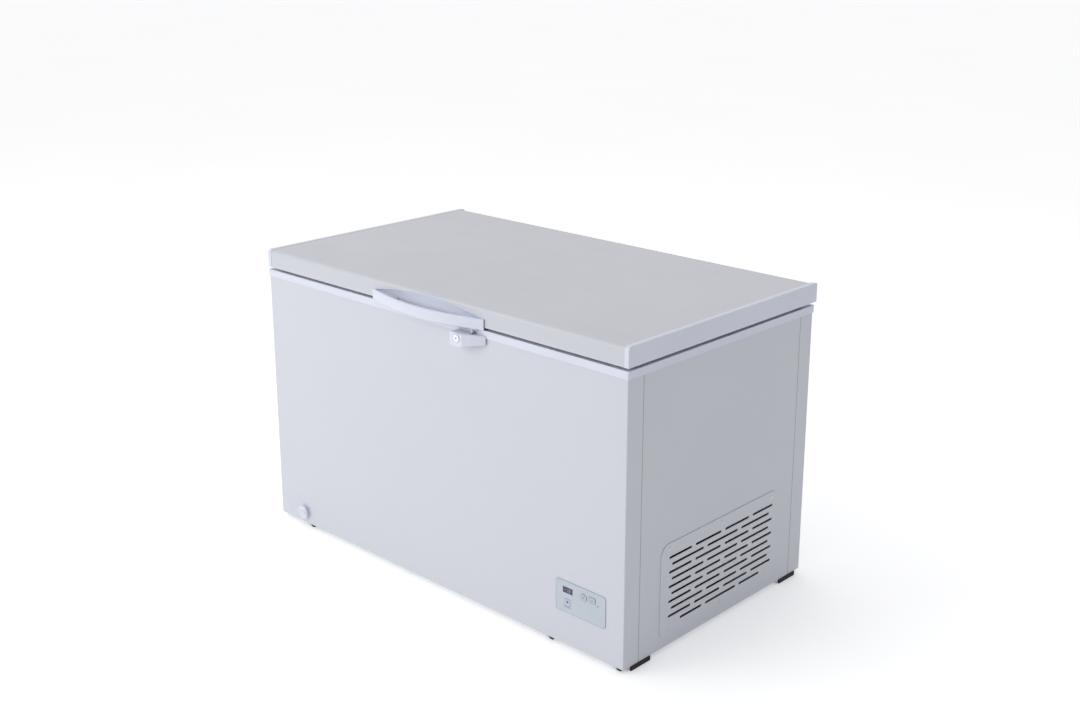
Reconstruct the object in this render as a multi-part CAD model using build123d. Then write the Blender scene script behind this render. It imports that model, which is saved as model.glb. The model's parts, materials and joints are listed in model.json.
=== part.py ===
from build123d import *
import os

# Chest freezer, millimetres. +X is the long side (the machine compartment is at +X),
# -Y is the front with the handle and the lock, +Z is up. Z = 0 is the floor, X = 0 is
# the middle of the cabinet, and Y = 0 is midway between the handle and the hinge covers.

# Overall sizes
CABINET_W = 1310.0
CABINET_D = 732.0
HANDLE_PROUD = 40.0
HINGE_PROUD = 16.0
FOOT_H = 12.0
LID_TOP = 805.0
LID_LOW = 755.0
RIM_TOP = 748.0
RIM_LOW = 729.0

# Walls
SHEET = 0.8
WALL = 65.0
FLOOR_WALL = 60.0
LINER_T = 1.0
SHELF_BACK = 51.0
LEDGE_TOP = 734.0
COLLAR_T = 3.0
RIM_PROUD = 2.5

# Planes worked out from the sizes above
X_SIDE = CABINET_W / 2
Y_FRONT = (HANDLE_PROUD - HINGE_PROUD - CABINET_D) / 2
Y_REAR = Y_FRONT + CABINET_D
Y_MID = (Y_FRONT + Y_REAR) / 2
Z_BASE = FOOT_H
X_IN = X_SIDE - WALL
Y_IN_FRONT = Y_FRONT + WALL
Y_IN_REAR = Y_REAR - WALL
Z_FLOOR = Z_BASE + FLOOR_WALL
FOAM_TOP = RIM_TOP - COLLAR_T
LEDGE_LOW = LEDGE_TOP - COLLAR_T

# Machine compartment and the step that it makes in the liner
BAY_X = 399.0
BAY_TOP = 290.0
STEP_X = 335.0
STEP_TOP = 367.0
TRAY_T = 2.0

# Seams between the wrapped front and rear panels and the side panels
FRONT_RETURN = 54.0
REAR_RETURN = 54.0
SEAM = 0.6
OUTER_CORNER = 3.0
INNER_CORNER = 2.6

# Lid
LID_FRONT = Y_FRONT - 1.5
LID_REAR = Y_REAR - 0.5
SHEET_END = 643.5
CAP_END = 656.5
CAP_REAR = Y_REAR + 12.0
SHEET_TOP = LID_TOP - 0.3
LID_EDGE_R = 11.0
CAP_T = 2.5
PLUG_LOW = 743.0
PLUG_INSET = 63.0
LID_LINER_T = 2.0
HEM = 10.0
GASKET_INSET = 14.0
GASKET_W = 18.0
GASKET_GAP = 0.3

# Handle on the lid's front edge
GRIP_LEFT = -207.0
GRIP_RIGHT = 205.0
GRIP_LOW = RIM_TOP
GRIP_TOP = 776.0
GRIP_T = 9.0
SCOOP_HALF = 200.0
SCOOP_Z = GRIP_TOP
SCOOP_H = 22.5
SCOOP_DEPTH = 13.0
GAP_TRIM = 50.0

# Lock on the cabinet's front edge
LOCK_LEFT = 115.0
LOCK_KNEE = 158.0
LOCK_RIGHT = 212.0
LOCK_PROUD = 33.0
LOCK_END_PROUD = 5.0
LOCK_TOP = 735.0
LOCK_LOW = 700.0
LOCK_LOW_RIGHT = 713.0
BARREL_X = 140.0
BARREL_Z = 722.0
BARREL_R = 9.0
BOLT_Y = Y_FRONT - 8.25
BOLT_Z = 717.0
CATCH_X = 173.5

# Hinges
HINGE_X = 430.0
HINGE_HALF = 30.0
PIVOT_Y = Y_REAR + 9.5
PIVOT_Z = 750.0
PIN_R = 3.0
PIN_FIT = 0.05
HINGE_LOW = 640.0

# Feet: one column near the left end and two at the ends of the machine tray
FOOT_COLUMNS = ((-519.5, 37.0), (416.0, 28.0), (636.0, 36.0))
FOOT_LEN = 77.0
FOOT_FRONT_Y = Y_FRONT + 61.5
FOOT_REAR_Y = Y_FRONT + 671.0

# Drain
DRAIN_X = -544.0
DRAIN_Z = 45.0
DRAIN_Y = Y_IN_FRONT + 40.0

# Controls
PANEL_X = 520.6
PANEL_Z = 139.0
PANEL_W = 158.0
PANEL_H = 82.0
PANEL_T = 1.2
BUTTON_PLAY = 0.35

# Compressor grille on the right-hand side
GRILLE_Y = Y_FRONT + 372.0
GRILLE_Z = 156.0
GRILLE_LEN = 482.0
GRILLE_H = 250.0
GRILLE_R = 30.0
GRILLE_T = 1.6
SLOT_PITCH = 19.3
SLOT_H = 6.5

# Compressor
PUMP_X = 528.0
PUMP_Y = Y_FRONT + 440.0
PUMP_R = 78.0
PUMP_LOW = 34.0
PUMP_TOP = 198.0

# Basket
BASKET_X = 467.0
BASKET_W = 232.0
BASKET_LOW = 500.0
WIRE = 6.0

# Tube and coil runs
EVAPORATOR_LEVELS = [400.0 + 55.0 * i for i in range(6)]
CONDENSER_LEVELS = [340.0 + 90.0 * i for i in range(5)]
CONDENSER_CORNER = 25.0
SUCTION_UP = (428.0, Y_FRONT + 330.0)
DISCHARGE_UP = (428.0, Y_FRONT + 560.0)
DRIER = (425.0, Y_FRONT + 250.0)
SENSOR_X = X_IN + LINER_T + 15.0
SENSOR_Y = Y_MID
SENSOR_Z = 428.0
GLAND_X = 560.0
GLAND_Z = 62.0
GLAND_R = 9.0

# Places on the control panel, each an x and a z
SET_BUTTON = (531.0, 156.0)
POWER_BUTTON = (557.5, 158.0)
LAMP = (575.5, 149.0)
DISPLAY = (480.0, 156.8)
ICON = (479.5, 125.0)

# Screws through the handle from inside the lid
HANDLE_SCREWS = (-130.0, 130.0)
SCREW_Z = 767.0
SCREW_START = LID_FRONT + 3.0


# ---------------------------------------------------------------- helpers


def slab(x0, x1, y0, y1, z0, z1):
    """A box between two corners."""
    centre = Pos((x0 + x1) / 2, (y0 + y1) / 2, (z0 + z1) / 2)
    return centre * Box(x1 - x0, y1 - y0, z1 - z0)


def rod_x(x0, x1, y, z, r):
    return Pos((x0 + x1) / 2, y, z) * Rot(0, 90, 0) * Cylinder(r, x1 - x0)


def rod_y(x, y0, y1, z, r):
    return Pos(x, (y0 + y1) / 2, z) * Rot(90, 0, 0) * Cylinder(r, y1 - y0)


def rod_z(x, y, z0, z1, r):
    return Pos(x, y, (z0 + z1) / 2) * Cylinder(r, z1 - z0)


def plate_y(x, z, w, h, r, y0, y1):
    """A rounded rectangle that faces the front, between two Y planes."""
    face = Plane((x, y1, z), x_dir=(1, 0, 0), z_dir=(0, -1, 0)) * RectangleRounded(w, h, r)
    return extrude(face, amount=y1 - y0)


def plate_x(y, z, w, h, r, x0, x1):
    """A rounded rectangle that faces the right-hand side, between two X planes."""
    face = Plane((x0, y, z), x_dir=(0, 1, 0), z_dir=(1, 0, 0)) * RectangleRounded(w, h, r)
    return extrude(face, amount=x1 - x0)


def inset_ring(outer, inner, z0, z1):
    """A rectangular ring in plan, between two insets from the cabinet's outer faces."""
    whole = slab(-X_SIDE + outer, X_SIDE - outer, Y_FRONT + outer, Y_REAR - outer, z0, z1)
    hole = slab(-X_SIDE + inner, X_SIDE - inner, Y_FRONT + inner, Y_REAR - inner, z0 - 1, z1 + 1)
    return whole - hole


def tube(points, radii, r):
    """A round tube along straight runs joined by arcs."""
    path = FilletPolyline(*points, radius=radii)
    return sweep(Plane(path @ 0, z_dir=path % 0) * Circle(r), path=path)


def inset_block(inset, corner, z0, z1):
    """A block with rounded upright corners, inset from the cabinet's outer faces."""
    outline = RectangleRounded(CABINET_W - 2 * inset, CABINET_D - 2 * inset, corner)
    return extrude(Pos(0, Y_MID, z0) * outline, amount=z1 - z0)


def tube_loop(inset, corner, z, r):
    """A closed level loop of tube with rounded corners."""
    outline = RectangleRounded(CABINET_W - 2 * inset, CABINET_D - 2 * inset, corner)
    path = (Pos(0, Y_MID, z) * outline).face().outer_wire()
    return sweep(Plane(path @ 0, z_dir=path % 0) * Circle(r), path=path)


def ease_corners(part, r, *sides):
    """Rounds the upright corners of a part at its left end, its right end or both."""
    for side in sides:
        part = fillet(part.edges().filter_by(Axis.Z).group_by(Axis.X)[side], r)
    return part


def lid_profile(x, y0, y1, z0, z1, r_front, r_rear):
    """The lid's side outline with rounded upper corners, as a face at a given X."""
    outline = Plane((x, 0, 0), x_dir=(0, 1, 0), z_dir=(1, 0, 0)) * Polygon(
        (y0, z0), (y1, z0), (y1, z1), (y0, z1), align=None)
    front = outline.vertices().sort_by(Axis.Z)[-2:].sort_by(Axis.Y)[0]
    rounded = fillet(front, r_front)
    rear = rounded.vertices().sort_by(Axis.Z)[-2:].sort_by(Axis.Y)[-1]
    return fillet(rear, r_rear)


# ---------------------------------------------------------------- cabinet


def front_panel():
    outer = slab(-X_SIDE, X_SIDE, Y_FRONT, Y_FRONT + FRONT_RETURN, Z_BASE, FOAM_TOP)
    edges = outer.edges().filter_by(Axis.Z).sort_by(Axis.Y)[:2]
    outer = fillet(edges, OUTER_CORNER)
    inner = slab(-X_SIDE + SHEET, X_SIDE - SHEET, Y_FRONT + SHEET, Y_FRONT + FRONT_RETURN + 1,
                 Z_BASE - 1, FOAM_TOP + 1)
    sheet = outer - fillet(inner.edges().filter_by(Axis.Z).sort_by(Axis.Y)[:2], OUTER_CORNER - SHEET)
    window = plate_y(PANEL_X, PANEL_Z, PANEL_W - 10, PANEL_H - 10, 5, Y_FRONT - 1, Y_FRONT + 2)
    return sheet - window - rod_y(DRAIN_X, Y_FRONT - 1, Y_FRONT + 2, DRAIN_Z, 13.0)


def side_panel(side):
    y0 = Y_FRONT + FRONT_RETURN + SEAM
    y1 = Y_REAR - REAR_RETURN - SEAM
    x0, x1 = sorted((side * X_SIDE, side * (X_SIDE - SHEET)))
    return slab(x0, x1, y0, y1, Z_BASE, FOAM_TOP)


def side_panel_left():
    return side_panel(-1)


def side_panel_right():
    window = plate_x(GRILLE_Y, GRILLE_Z, GRILLE_LEN - 16, GRILLE_H - 16, GRILLE_R - 8,
                     X_SIDE - 5, X_SIDE + 5)
    return side_panel(1) - window


def rear_panel():
    outer = slab(-X_SIDE, X_SIDE, Y_REAR - REAR_RETURN, Y_REAR, Z_BASE, FOAM_TOP)
    outer = fillet(outer.edges().filter_by(Axis.Z).sort_by(Axis.Y)[-2:], OUTER_CORNER)
    inner = slab(-X_SIDE + SHEET, X_SIDE - SHEET, Y_REAR - REAR_RETURN - 1, Y_REAR - SHEET,
                 Z_BASE - 1, FOAM_TOP + 1)
    sheet = outer - fillet(inner.edges().filter_by(Axis.Z).sort_by(Axis.Y)[-2:], OUTER_CORNER - SHEET)
    return sheet - rod_y(GLAND_X, Y_REAR - 2, Y_REAR + 1, GLAND_Z, GLAND_R)


def base_panel():
    sheet = slab(-X_SIDE + SHEET, BAY_X, Y_FRONT + SHEET, Y_REAR - SHEET, Z_BASE, Z_BASE + SHEET)
    return ease_corners(sheet, INNER_CORNER, 0)


def machine_tray():
    tray = slab(BAY_X, X_SIDE - SHEET, Y_FRONT + SHEET, Y_REAR - SHEET, Z_BASE, Z_BASE + TRAY_T)
    tray = ease_corners(tray, INNER_CORNER, -1)
    for x, y in pump_bolt_places():
        tray -= rod_z(x, y, Z_BASE - 1, Z_BASE + TRAY_T + 1, 4.05)
    return tray


def machine_partition():
    """The folded steel wall and ceiling between the foam and the machine compartment."""
    y0 = Y_FRONT + SHEET
    y1 = Y_REAR - SHEET
    wall = slab(BAY_X, BAY_X + 1, y0, y1, Z_BASE + TRAY_T, BAY_TOP)
    ceiling = slab(BAY_X, X_SIDE - SHEET, y0, y1, BAY_TOP - 1, BAY_TOP)
    ceiling = ease_corners(ceiling, INNER_CORNER, -1)
    holes = [rod_z(x, y, BAY_TOP - 2, BAY_TOP + 1, 6.0) for x, y in (SUCTION_UP, DISCHARGE_UP)]
    return wall + ceiling - holes


def cabinet_insulation():
    foam = inset_block(SHEET, INNER_CORNER, Z_BASE + SHEET, FOAM_TOP)
    cavity_in = WALL - LINER_T
    x_cut = X_SIDE - cavity_in
    y0 = Y_FRONT + cavity_in
    y1 = Y_REAR - cavity_in
    foam -= slab(-x_cut, x_cut, y0, y1, STEP_TOP - LINER_T, FOAM_TOP + 1)
    foam -= slab(-x_cut, STEP_X + LINER_T, y0, y1, Z_FLOOR - LINER_T, STEP_TOP)
    shelf = SHELF_BACK - 2
    foam -= slab(-X_SIDE + shelf, X_SIDE - shelf, Y_FRONT + shelf, Y_REAR - shelf,
                 LEDGE_LOW, FOAM_TOP + 1)
    foam -= slab(BAY_X, X_SIDE, Y_FRONT, Y_REAR, Z_BASE, BAY_TOP)
    for z in EVAPORATOR_LEVELS:
        foam -= inset_ring(cavity_in - 9.5, cavity_in + 1, z - 5, z + 5)
    for z in CONDENSER_LEVELS:
        outside = slab(-X_SIDE, X_SIDE, Y_FRONT, Y_REAR, z - 4, z + 4)
        foam -= outside - inset_block(SHEET + 7.2, CONDENSER_CORNER - 4, z - 5, z + 5)
    foam -= coil_risers(EVAPORATOR_LEVELS, Y_FRONT + cavity_in - 4.5, 5.0)
    foam -= coil_risers(CONDENSER_LEVELS, Y_FRONT + SHEET + 3.4, 4.0)
    foam -= slab(DRAIN_X - 14, DRAIN_X + 14, Y_FRONT, DRAIN_Y + 13, DRAIN_Z - 14, Z_FLOOR)
    for x, y in (SUCTION_UP, DISCHARGE_UP):
        foam -= rod_z(x, y, BAY_TOP - 1, BAY_TOP + 41, 6.0)
    return foam - rod_y(SENSOR_X, SENSOR_Y - 31, SENSOR_Y + 31, SENSOR_Z, 5.0)


def liner_walls():
    """Four flat sheets of the embossed liner: front, rear, left and right."""
    top = LEDGE_LOW
    walls = []
    for y0, y1 in ((Y_IN_FRONT - LINER_T, Y_IN_FRONT), (Y_IN_REAR, Y_IN_REAR + LINER_T)):
        wall = slab(-X_IN - LINER_T, X_IN + LINER_T, y0, y1, Z_FLOOR - LINER_T, top)
        walls.append(wall - slab(STEP_X + LINER_T, X_IN + 9, y0 - 1, y1 + 1, 0, STEP_TOP - LINER_T))
    walls.append(slab(-X_IN - LINER_T, -X_IN, Y_IN_FRONT, Y_IN_REAR, Z_FLOOR - LINER_T, top))
    walls.append(slab(X_IN, X_IN + LINER_T, Y_IN_FRONT, Y_IN_REAR, STEP_TOP - LINER_T, top))
    return Compound(children=walls)


def liner_floor():
    floor = slab(-X_IN, STEP_X, Y_IN_FRONT, Y_IN_REAR, Z_FLOOR - LINER_T, Z_FLOOR)
    return floor - rod_z(DRAIN_X, DRAIN_Y, Z_FLOOR - 2, Z_FLOOR + 1, 10.0)


def liner_step():
    """The riser and the top of the step over the machine compartment."""
    riser = slab(STEP_X, STEP_X + LINER_T, Y_IN_FRONT, Y_IN_REAR, Z_FLOOR - LINER_T, STEP_TOP)
    top = slab(STEP_X + LINER_T, X_IN, Y_IN_FRONT, Y_IN_REAR, STEP_TOP - LINER_T, STEP_TOP)
    return Compound(children=[riser, top])


def top_rim():
    """The plastic collar round the opening, with an outer skirt and a ledge for the basket."""
    skirt = inset_ring(-RIM_PROUD, 0, RIM_LOW, RIM_TOP)
    flange = inset_ring(0, SHELF_BACK, FOAM_TOP, RIM_TOP)
    riser = inset_ring(SHELF_BACK - 2, SHELF_BACK, LEDGE_LOW, FOAM_TOP)
    ledge = inset_ring(SHELF_BACK, WALL + 1.5, LEDGE_LOW, LEDGE_TOP)
    lip = inset_ring(WALL, WALL + 1.5, LEDGE_LOW - 10, LEDGE_LOW)
    collar = skirt + flange + riser + ledge + lip
    corners = collar.edges().filter_by(Axis.Z).group_by(lambda e: round(abs(e.center().X), 1))[-1]
    return fillet(corners, 4.0)


# ---------------------------------------------------------------- refrigeration


def coil_risers(levels, y, r):
    """Short upright tubes that join one loop to the next."""
    pairs = list(zip(levels, levels[1:]))
    return [rod_z(-300.0 + 60.0 * i, y, low, high, r) for i, (low, high) in enumerate(pairs)]


def coil(levels, inset, corner, r):
    loops = [tube_loop(inset, corner, z, r) for z in levels]
    joined = loops[0]
    for loop in loops[1:]:
        joined += loop
    for riser in coil_risers(levels, Y_FRONT + inset, r * 0.9):
        joined += riser
    return joined


def evaporator_coil():
    return coil(EVAPORATOR_LEVELS, WALL - LINER_T - 4.5, 5.0, 4.0)


def condenser_coil():
    return coil(CONDENSER_LEVELS, SHEET + 3.4, CONDENSER_CORNER, 3.0)


def pump_bolt_places():
    return [(PUMP_X + sx * 70, PUMP_Y + sy * 85) for sx in (-1, 1) for sy in (-1, 1)]


def compressor_shell():
    """Two pressed cups welded at a seam."""
    seam = (PUMP_LOW + PUMP_TOP) / 2 + 8
    lower = rod_z(PUMP_X, PUMP_Y, PUMP_LOW, seam, PUMP_R)
    lower = fillet(lower.edges().sort_by(Axis.Z)[0], 24)
    upper = rod_z(PUMP_X, PUMP_Y, seam, PUMP_TOP, PUMP_R - 3)
    upper = fillet(upper.edges().sort_by(Axis.Z)[-1], 44)
    return lower + upper + rod_z(PUMP_X, PUMP_Y, seam - 4, seam + 2, PUMP_R + 3)


def compressor_baseplate():
    top = PUMP_LOW
    plate = slab(PUMP_X - 86, PUMP_X + 86, PUMP_Y - 100, PUMP_Y + 100, top - 3, top)
    plate = fillet(plate.edges().filter_by(Axis.Z), 14)
    return plate - [rod_z(x, y, 0, 60, 7.0) for x, y in pump_bolt_places()]


def compressor_grommets():
    """Rubber mounts between the tray and the base plate."""
    low = Z_BASE + TRAY_T
    mounts = []
    for x, y in pump_bolt_places():
        mount = rod_z(x, y, low, PUMP_LOW - 3, 12) + rod_z(x, y, low, PUMP_LOW + 4, 6.9)
        mounts.append(mount - rod_z(x, y, 0, 60, 4.2))
    return Compound(children=mounts)


def compressor_bolts():
    bolts = []
    for x, y in pump_bolt_places():
        shank = rod_z(x, y, Z_BASE, PUMP_LOW + 10, 4.0)
        washer = rod_z(x, y, PUMP_LOW + 4, PUMP_LOW + 6, 9.0)
        nut = Pos(x, y, PUMP_LOW + 6) * extrude(RegularPolygon(7.5, 6), amount=6)
        bolts.append(shank + washer + nut)
    return Compound(children=bolts)


def relay_box():
    """The terminal cover on the compressor's side."""
    y1 = PUMP_Y - PUMP_R - 4
    box = slab(PUMP_X - 32, PUMP_X + 32, y1 - 30, y1, 70, 138)
    return fillet(box.edges().filter_by(Axis.Y), 6)


def suction_tube():
    x, y = SUCTION_UP
    start = (PUMP_X - PUMP_R + 1, PUMP_Y - 20, 150)
    points = [start, (x, PUMP_Y - 20, 150), (x, y, 150), (x, y, BAY_TOP + 40)]
    return tube(points, 12, 4.0) - pump_hollow()


def discharge_tube():
    x, y = DISCHARGE_UP
    start = (PUMP_X - PUMP_R + 1, PUMP_Y + 25, 80)
    points = [start, (x, PUMP_Y + 25, 80), (x, y, 80), (x, y, BAY_TOP + 40)]
    return tube(points, 12, 3.2) - pump_hollow()


def capillary_tube():
    x, y = DRIER
    points = [(x, y, 200), (x, y, 240), (x, y + 50, 240), (x, y + 50, BAY_TOP - 1)]
    return tube(points, 12, 1.6)


def refrigerant_tubes():
    return Compound(children=[suction_tube(), discharge_tube(), capillary_tube()])


def pump_hollow():
    return rod_z(PUMP_X, PUMP_Y, PUMP_LOW - 5, PUMP_TOP + 5, PUMP_R)


def filter_drier():
    """The copper drier, upright beside the partition."""
    x, y = DRIER
    body = rod_z(x, y, 90, 190, 10)
    body = fillet(body.edges().filter_by(GeomType.CIRCLE), 6)
    return body + rod_z(x, y, 80, 200, 3.0)


def temperature_sensor():
    return rod_y(SENSOR_X, SENSOR_Y - 30, SENSOR_Y + 30, SENSOR_Z, 4.0)


def compressor_grille():
    """The slotted cover of the machine compartment."""
    plate = plate_x(GRILLE_Y, GRILLE_Z, GRILLE_LEN, GRILLE_H, GRILLE_R, X_SIDE, X_SIDE + GRILLE_T)
    cuts = []
    for y0, y1, z in grille_slots():
        cuts.append(plate_x((y0 + y1) / 2, z, y1 - y0, SLOT_H, SLOT_H / 2 - 0.01,
                            X_SIDE - 1, X_SIDE + 5))
    cuts += [rod_x(X_SIDE - 1, X_SIDE + 5, y, z, 2.2) for y, z in grille_screw_places()]
    return plate - cuts


def grille_slots():
    """Rows of slots: four to a row and three to a row in turn."""
    four = ((162, 250), (265, 368), (384, 485), (501, 588))
    three = ((173, 298), (312, 438), (453, 573))
    last = ((209, 295), (311, 436), (451, 538))
    slots = []
    for row in range(10):
        spans = last if row == 9 else (four, three)[row % 2]
        for start, end in spans:
            slots.append((Y_FRONT + start, Y_FRONT + end, Z_BASE + 231 - SLOT_PITCH * row))
    return slots


def grille_screw_places():
    upper = ((165, 254), (374, 254), (581, 254))
    lower = ((164, 35), (370, 35), (575, 35))
    return [(Y_FRONT + y, Z_BASE + z) for y, z in upper + lower]


def grille_screws():
    screws = []
    for y, z in grille_screw_places():
        head = rod_x(X_SIDE + GRILLE_T, X_SIDE + GRILLE_T + 0.8, y, z, 4.5)
        shank = rod_x(X_SIDE - 8, X_SIDE + GRILLE_T, y, z, 2.1)
        screws.append(head + shank)
    return Compound(children=screws)


def cord_gland():
    """The bush that a mains lead would pass through, at the rear of the machine compartment."""
    body = rod_y(GLAND_X, Y_REAR - 8, Y_REAR + 8, GLAND_Z, GLAND_R - 0.1)
    flange = rod_y(GLAND_X, Y_REAR, Y_REAR + 3, GLAND_Z, GLAND_R + 4)
    return body + flange - rod_y(GLAND_X, Y_REAR - 9, Y_REAR + 9, GLAND_Z, 4.0)


# ---------------------------------------------------------------- controls


def control_fascia():
    """The thin printed plate round the display and the buttons."""
    plate = plate_y(PANEL_X, PANEL_Z, PANEL_W, PANEL_H, 8, Y_FRONT - PANEL_T, Y_FRONT)
    lip = plate_y(PANEL_X, PANEL_Z, PANEL_W - 10.4, PANEL_H - 10.4, 5, Y_FRONT, Y_FRONT + 3)
    cuts = [plate_y(*DISPLAY, 31, 15.6, 1, Y_FRONT - 3, Y_FRONT + 4),
            plate_y(*ICON, 18, 18, 2, Y_FRONT - 3, Y_FRONT + 4),
            rod_y(SET_BUTTON[0], Y_FRONT - 3, Y_FRONT + 4, SET_BUTTON[1], 9),
            plate_y(*POWER_BUTTON, 20, 15, 4, Y_FRONT - 3, Y_FRONT + 4),
            rod_y(LAMP[0], Y_FRONT - 3, Y_FRONT + 4, LAMP[1], 2)]
    return plate + lip - cuts


def display_windows():
    """The dark digit window and the small lit square under it."""
    front = Y_FRONT - PANEL_T - 0.3
    digits = plate_y(*DISPLAY, 31, 15.6, 1, front, Y_FRONT + 3)
    icon = plate_y(*ICON, 18, 18, 2, front, Y_FRONT + 3)
    return Compound(children=[digits, icon])


def status_lamp():
    x, z = LAMP
    return rod_y(x, Y_FRONT - PANEL_T - 0.5, Y_FRONT + 3, z, 2)


def set_button():
    x, z = SET_BUTTON
    return rod_y(x, Y_FRONT - PANEL_T - 1.2, Y_FRONT + 5, z, 9 - BUTTON_PLAY)


def power_button():
    play = 2 * BUTTON_PLAY
    return plate_y(*POWER_BUTTON, 20 - play, 15 - play, 3.6, Y_FRONT - PANEL_T - 1.2, Y_FRONT + 5)


def control_housing():
    """The plastic box behind the front panel that holds the board."""
    y0 = Y_FRONT + 3
    outer = plate_y(PANEL_X, PANEL_Z, PANEL_W + 8, PANEL_H + 8, 6, Y_FRONT + SHEET, y0 + 40)
    inner = plate_y(PANEL_X, PANEL_Z, PANEL_W - 2, PANEL_H - 2, 3, Y_FRONT, y0 + 38)
    return outer - inner


def control_board():
    y = Y_FRONT + 14
    board = slab(PANEL_X - 72, PANEL_X + 72, y, y + 1.6, PANEL_Z - 34, PANEL_Z + 34)
    digits = slab(DISPLAY[0] - 14, DISPLAY[0] + 14, y - 8, y, DISPLAY[1] - 7, DISPLAY[1] + 7)
    relay = slab(PANEL_X + 20, PANEL_X + 42, y + 1.6, y + 19, PANEL_Z - 24, PANEL_Z - 4)
    caps = rod_y(PANEL_X - 40, y + 1.6, y + 20, PANEL_Z - 16, 8)
    return board + digits + relay + caps


# ---------------------------------------------------------------- feet


def foot_places():
    return [(x, w, y) for x, w in FOOT_COLUMNS for y in (FOOT_FRONT_Y, FOOT_REAR_Y)]


def foot_brackets():
    """Bent steel strips that hold the pads under the cabinet."""
    feet = []
    for x, w, y in foot_places():
        top = slab(x - w / 2, x + w / 2, y - FOOT_LEN / 2, y + FOOT_LEN / 2, FOOT_H - 2, FOOT_H)
        low = slab(x - w / 2, x + w / 2, y - FOOT_LEN / 2, y - FOOT_LEN / 2 + 2, 4, FOOT_H)
        feet.append(top + low - rod_z(x, y, 0, 20, 3.2))
    return Compound(children=feet)


def foot_pads():
    pads = []
    for x, w, y in foot_places():
        half = w / 2 - 1
        pad = slab(x - half, x + half, y - FOOT_LEN / 2 + 2.5, y + FOOT_LEN / 2 - 1, 0, FOOT_H - 2)
        pads.append(pad - rod_z(x, y, -1, 20, 6.5))
    return Compound(children=pads)


def foot_screws():
    screws = []
    for x, w, y in foot_places():
        screws.append(rod_z(x, y, 6, FOOT_H - 2, 6.0) + rod_z(x, y, FOOT_H - 2, FOOT_H, 3.1))
    return Compound(children=screws)


# ---------------------------------------------------------------- drain


def drain_escutcheon():
    ring = rod_y(DRAIN_X, Y_FRONT - 1.5, Y_FRONT, DRAIN_Z, 23.0)
    ring += rod_y(DRAIN_X, Y_FRONT, Y_FRONT + 8, DRAIN_Z, 12.9)
    return ring - rod_y(DRAIN_X, Y_FRONT - 3, Y_FRONT + 9, DRAIN_Z, 9.0)


def drain_pipe():
    """The fixed pipe from the liner floor to the front panel."""
    bend = [(DRAIN_X, Y_FRONT + 8, DRAIN_Z), (DRAIN_X, DRAIN_Y, DRAIN_Z),
            (DRAIN_X, DRAIN_Y, Z_FLOOR - LINER_T)]
    return tube(bend, 16, 12.0) - tube(bend, 16, 9.0)


def drain_spout():
    """The sliding outlet that is drawn forward to empty the freezer."""
    spout = rod_y(DRAIN_X, Y_FRONT - 2.2, Y_FRONT + 75, DRAIN_Z, 8.6)
    return spout - rod_y(DRAIN_X, Y_FRONT - 3, Y_FRONT + 76, DRAIN_Z, 6.5)


def drain_knob():
    cap = rod_y(DRAIN_X, Y_FRONT - 11, Y_FRONT - 2.5, DRAIN_Z, 20.0)
    cap = fillet(cap.edges().sort_by(Axis.Y)[0], 3.0)
    grip = plate_y(DRAIN_X, DRAIN_Z, 30, 7, 3, Y_FRONT - 12, Y_FRONT - 8.5)
    return cap - grip


def drain_plug():
    """The stopper in the liner floor."""
    head = rod_z(DRAIN_X, DRAIN_Y, Z_FLOOR + 0.3, Z_FLOOR + 4, 17.0)
    stem = rod_z(DRAIN_X, DRAIN_Y, Z_FLOOR - 9, Z_FLOOR + 1, 8.4)
    pull = rod_z(DRAIN_X, DRAIN_Y, Z_FLOOR + 4, Z_FLOOR + 10, 6.0)
    return head + stem + pull


# ---------------------------------------------------------------- lock


def lock_outline():
    y = Y_FRONT
    return Polygon((LOCK_LEFT, y), (LOCK_LEFT, y - LOCK_PROUD), (LOCK_KNEE, y - LOCK_PROUD),
                   (LOCK_RIGHT, y - LOCK_END_PROUD), (LOCK_RIGHT, y), align=None)


def lock_housing():
    block = extrude(Pos(0, 0, LOCK_LOW) * lock_outline(), amount=LOCK_TOP - LOCK_LOW)
    wedge = Polygon((LOCK_LEFT + 20, LOCK_LOW - 1), (LOCK_RIGHT + 1, LOCK_LOW - 1),
                    (LOCK_RIGHT + 1, LOCK_LOW_RIGHT), (LOCK_LEFT + 20, LOCK_LOW), align=None)
    front_plane = Plane((0, Y_FRONT + 1, 0), x_dir=(1, 0, 0), z_dir=(0, -1, 0))
    block -= extrude(front_plane * wedge, amount=LOCK_PROUD + 5)
    block = fillet(block.edges().filter_by(Axis.Z).sort_by(Axis.Y)[0], 5.0)
    behind_rim = Y_FRONT - RIM_PROUD - 0.1
    block -= slab(LOCK_LEFT - 1, LOCK_RIGHT + 1, behind_rim, Y_FRONT + 1, RIM_LOW - 0.1, LOCK_TOP + 1)
    block -= rod_y(BARREL_X, Y_FRONT - LOCK_PROUD - 1, Y_FRONT - 12, BARREL_Z, BARREL_R + 0.3)
    block -= slab(BARREL_X - 12, CATCH_X + 14, BOLT_Y - 2.2, BOLT_Y + 2.2, BOLT_Z - 3.8, BOLT_Z + 3.8)
    return block - slab(CATCH_X - 5, CATCH_X + 5, Y_FRONT - 16, Y_FRONT - 3.2, 706, LOCK_TOP + 1)


def lock_barrel():
    barrel = rod_y(BARREL_X, Y_FRONT - LOCK_PROUD - 1.5, Y_FRONT - 12.4, BARREL_Z, BARREL_R)
    face = Y_FRONT - LOCK_PROUD - 1.5
    return barrel - slab(BARREL_X - 0.8, BARREL_X + 0.8, face - 1, face + 5, BARREL_Z - 4, BARREL_Z + 4)


def lock_bolt():
    return slab(BARREL_X - 11.5, CATCH_X - 5.5, BOLT_Y - 1.8, BOLT_Y + 1.8, BOLT_Z - 3.4, BOLT_Z + 3.4)


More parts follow.
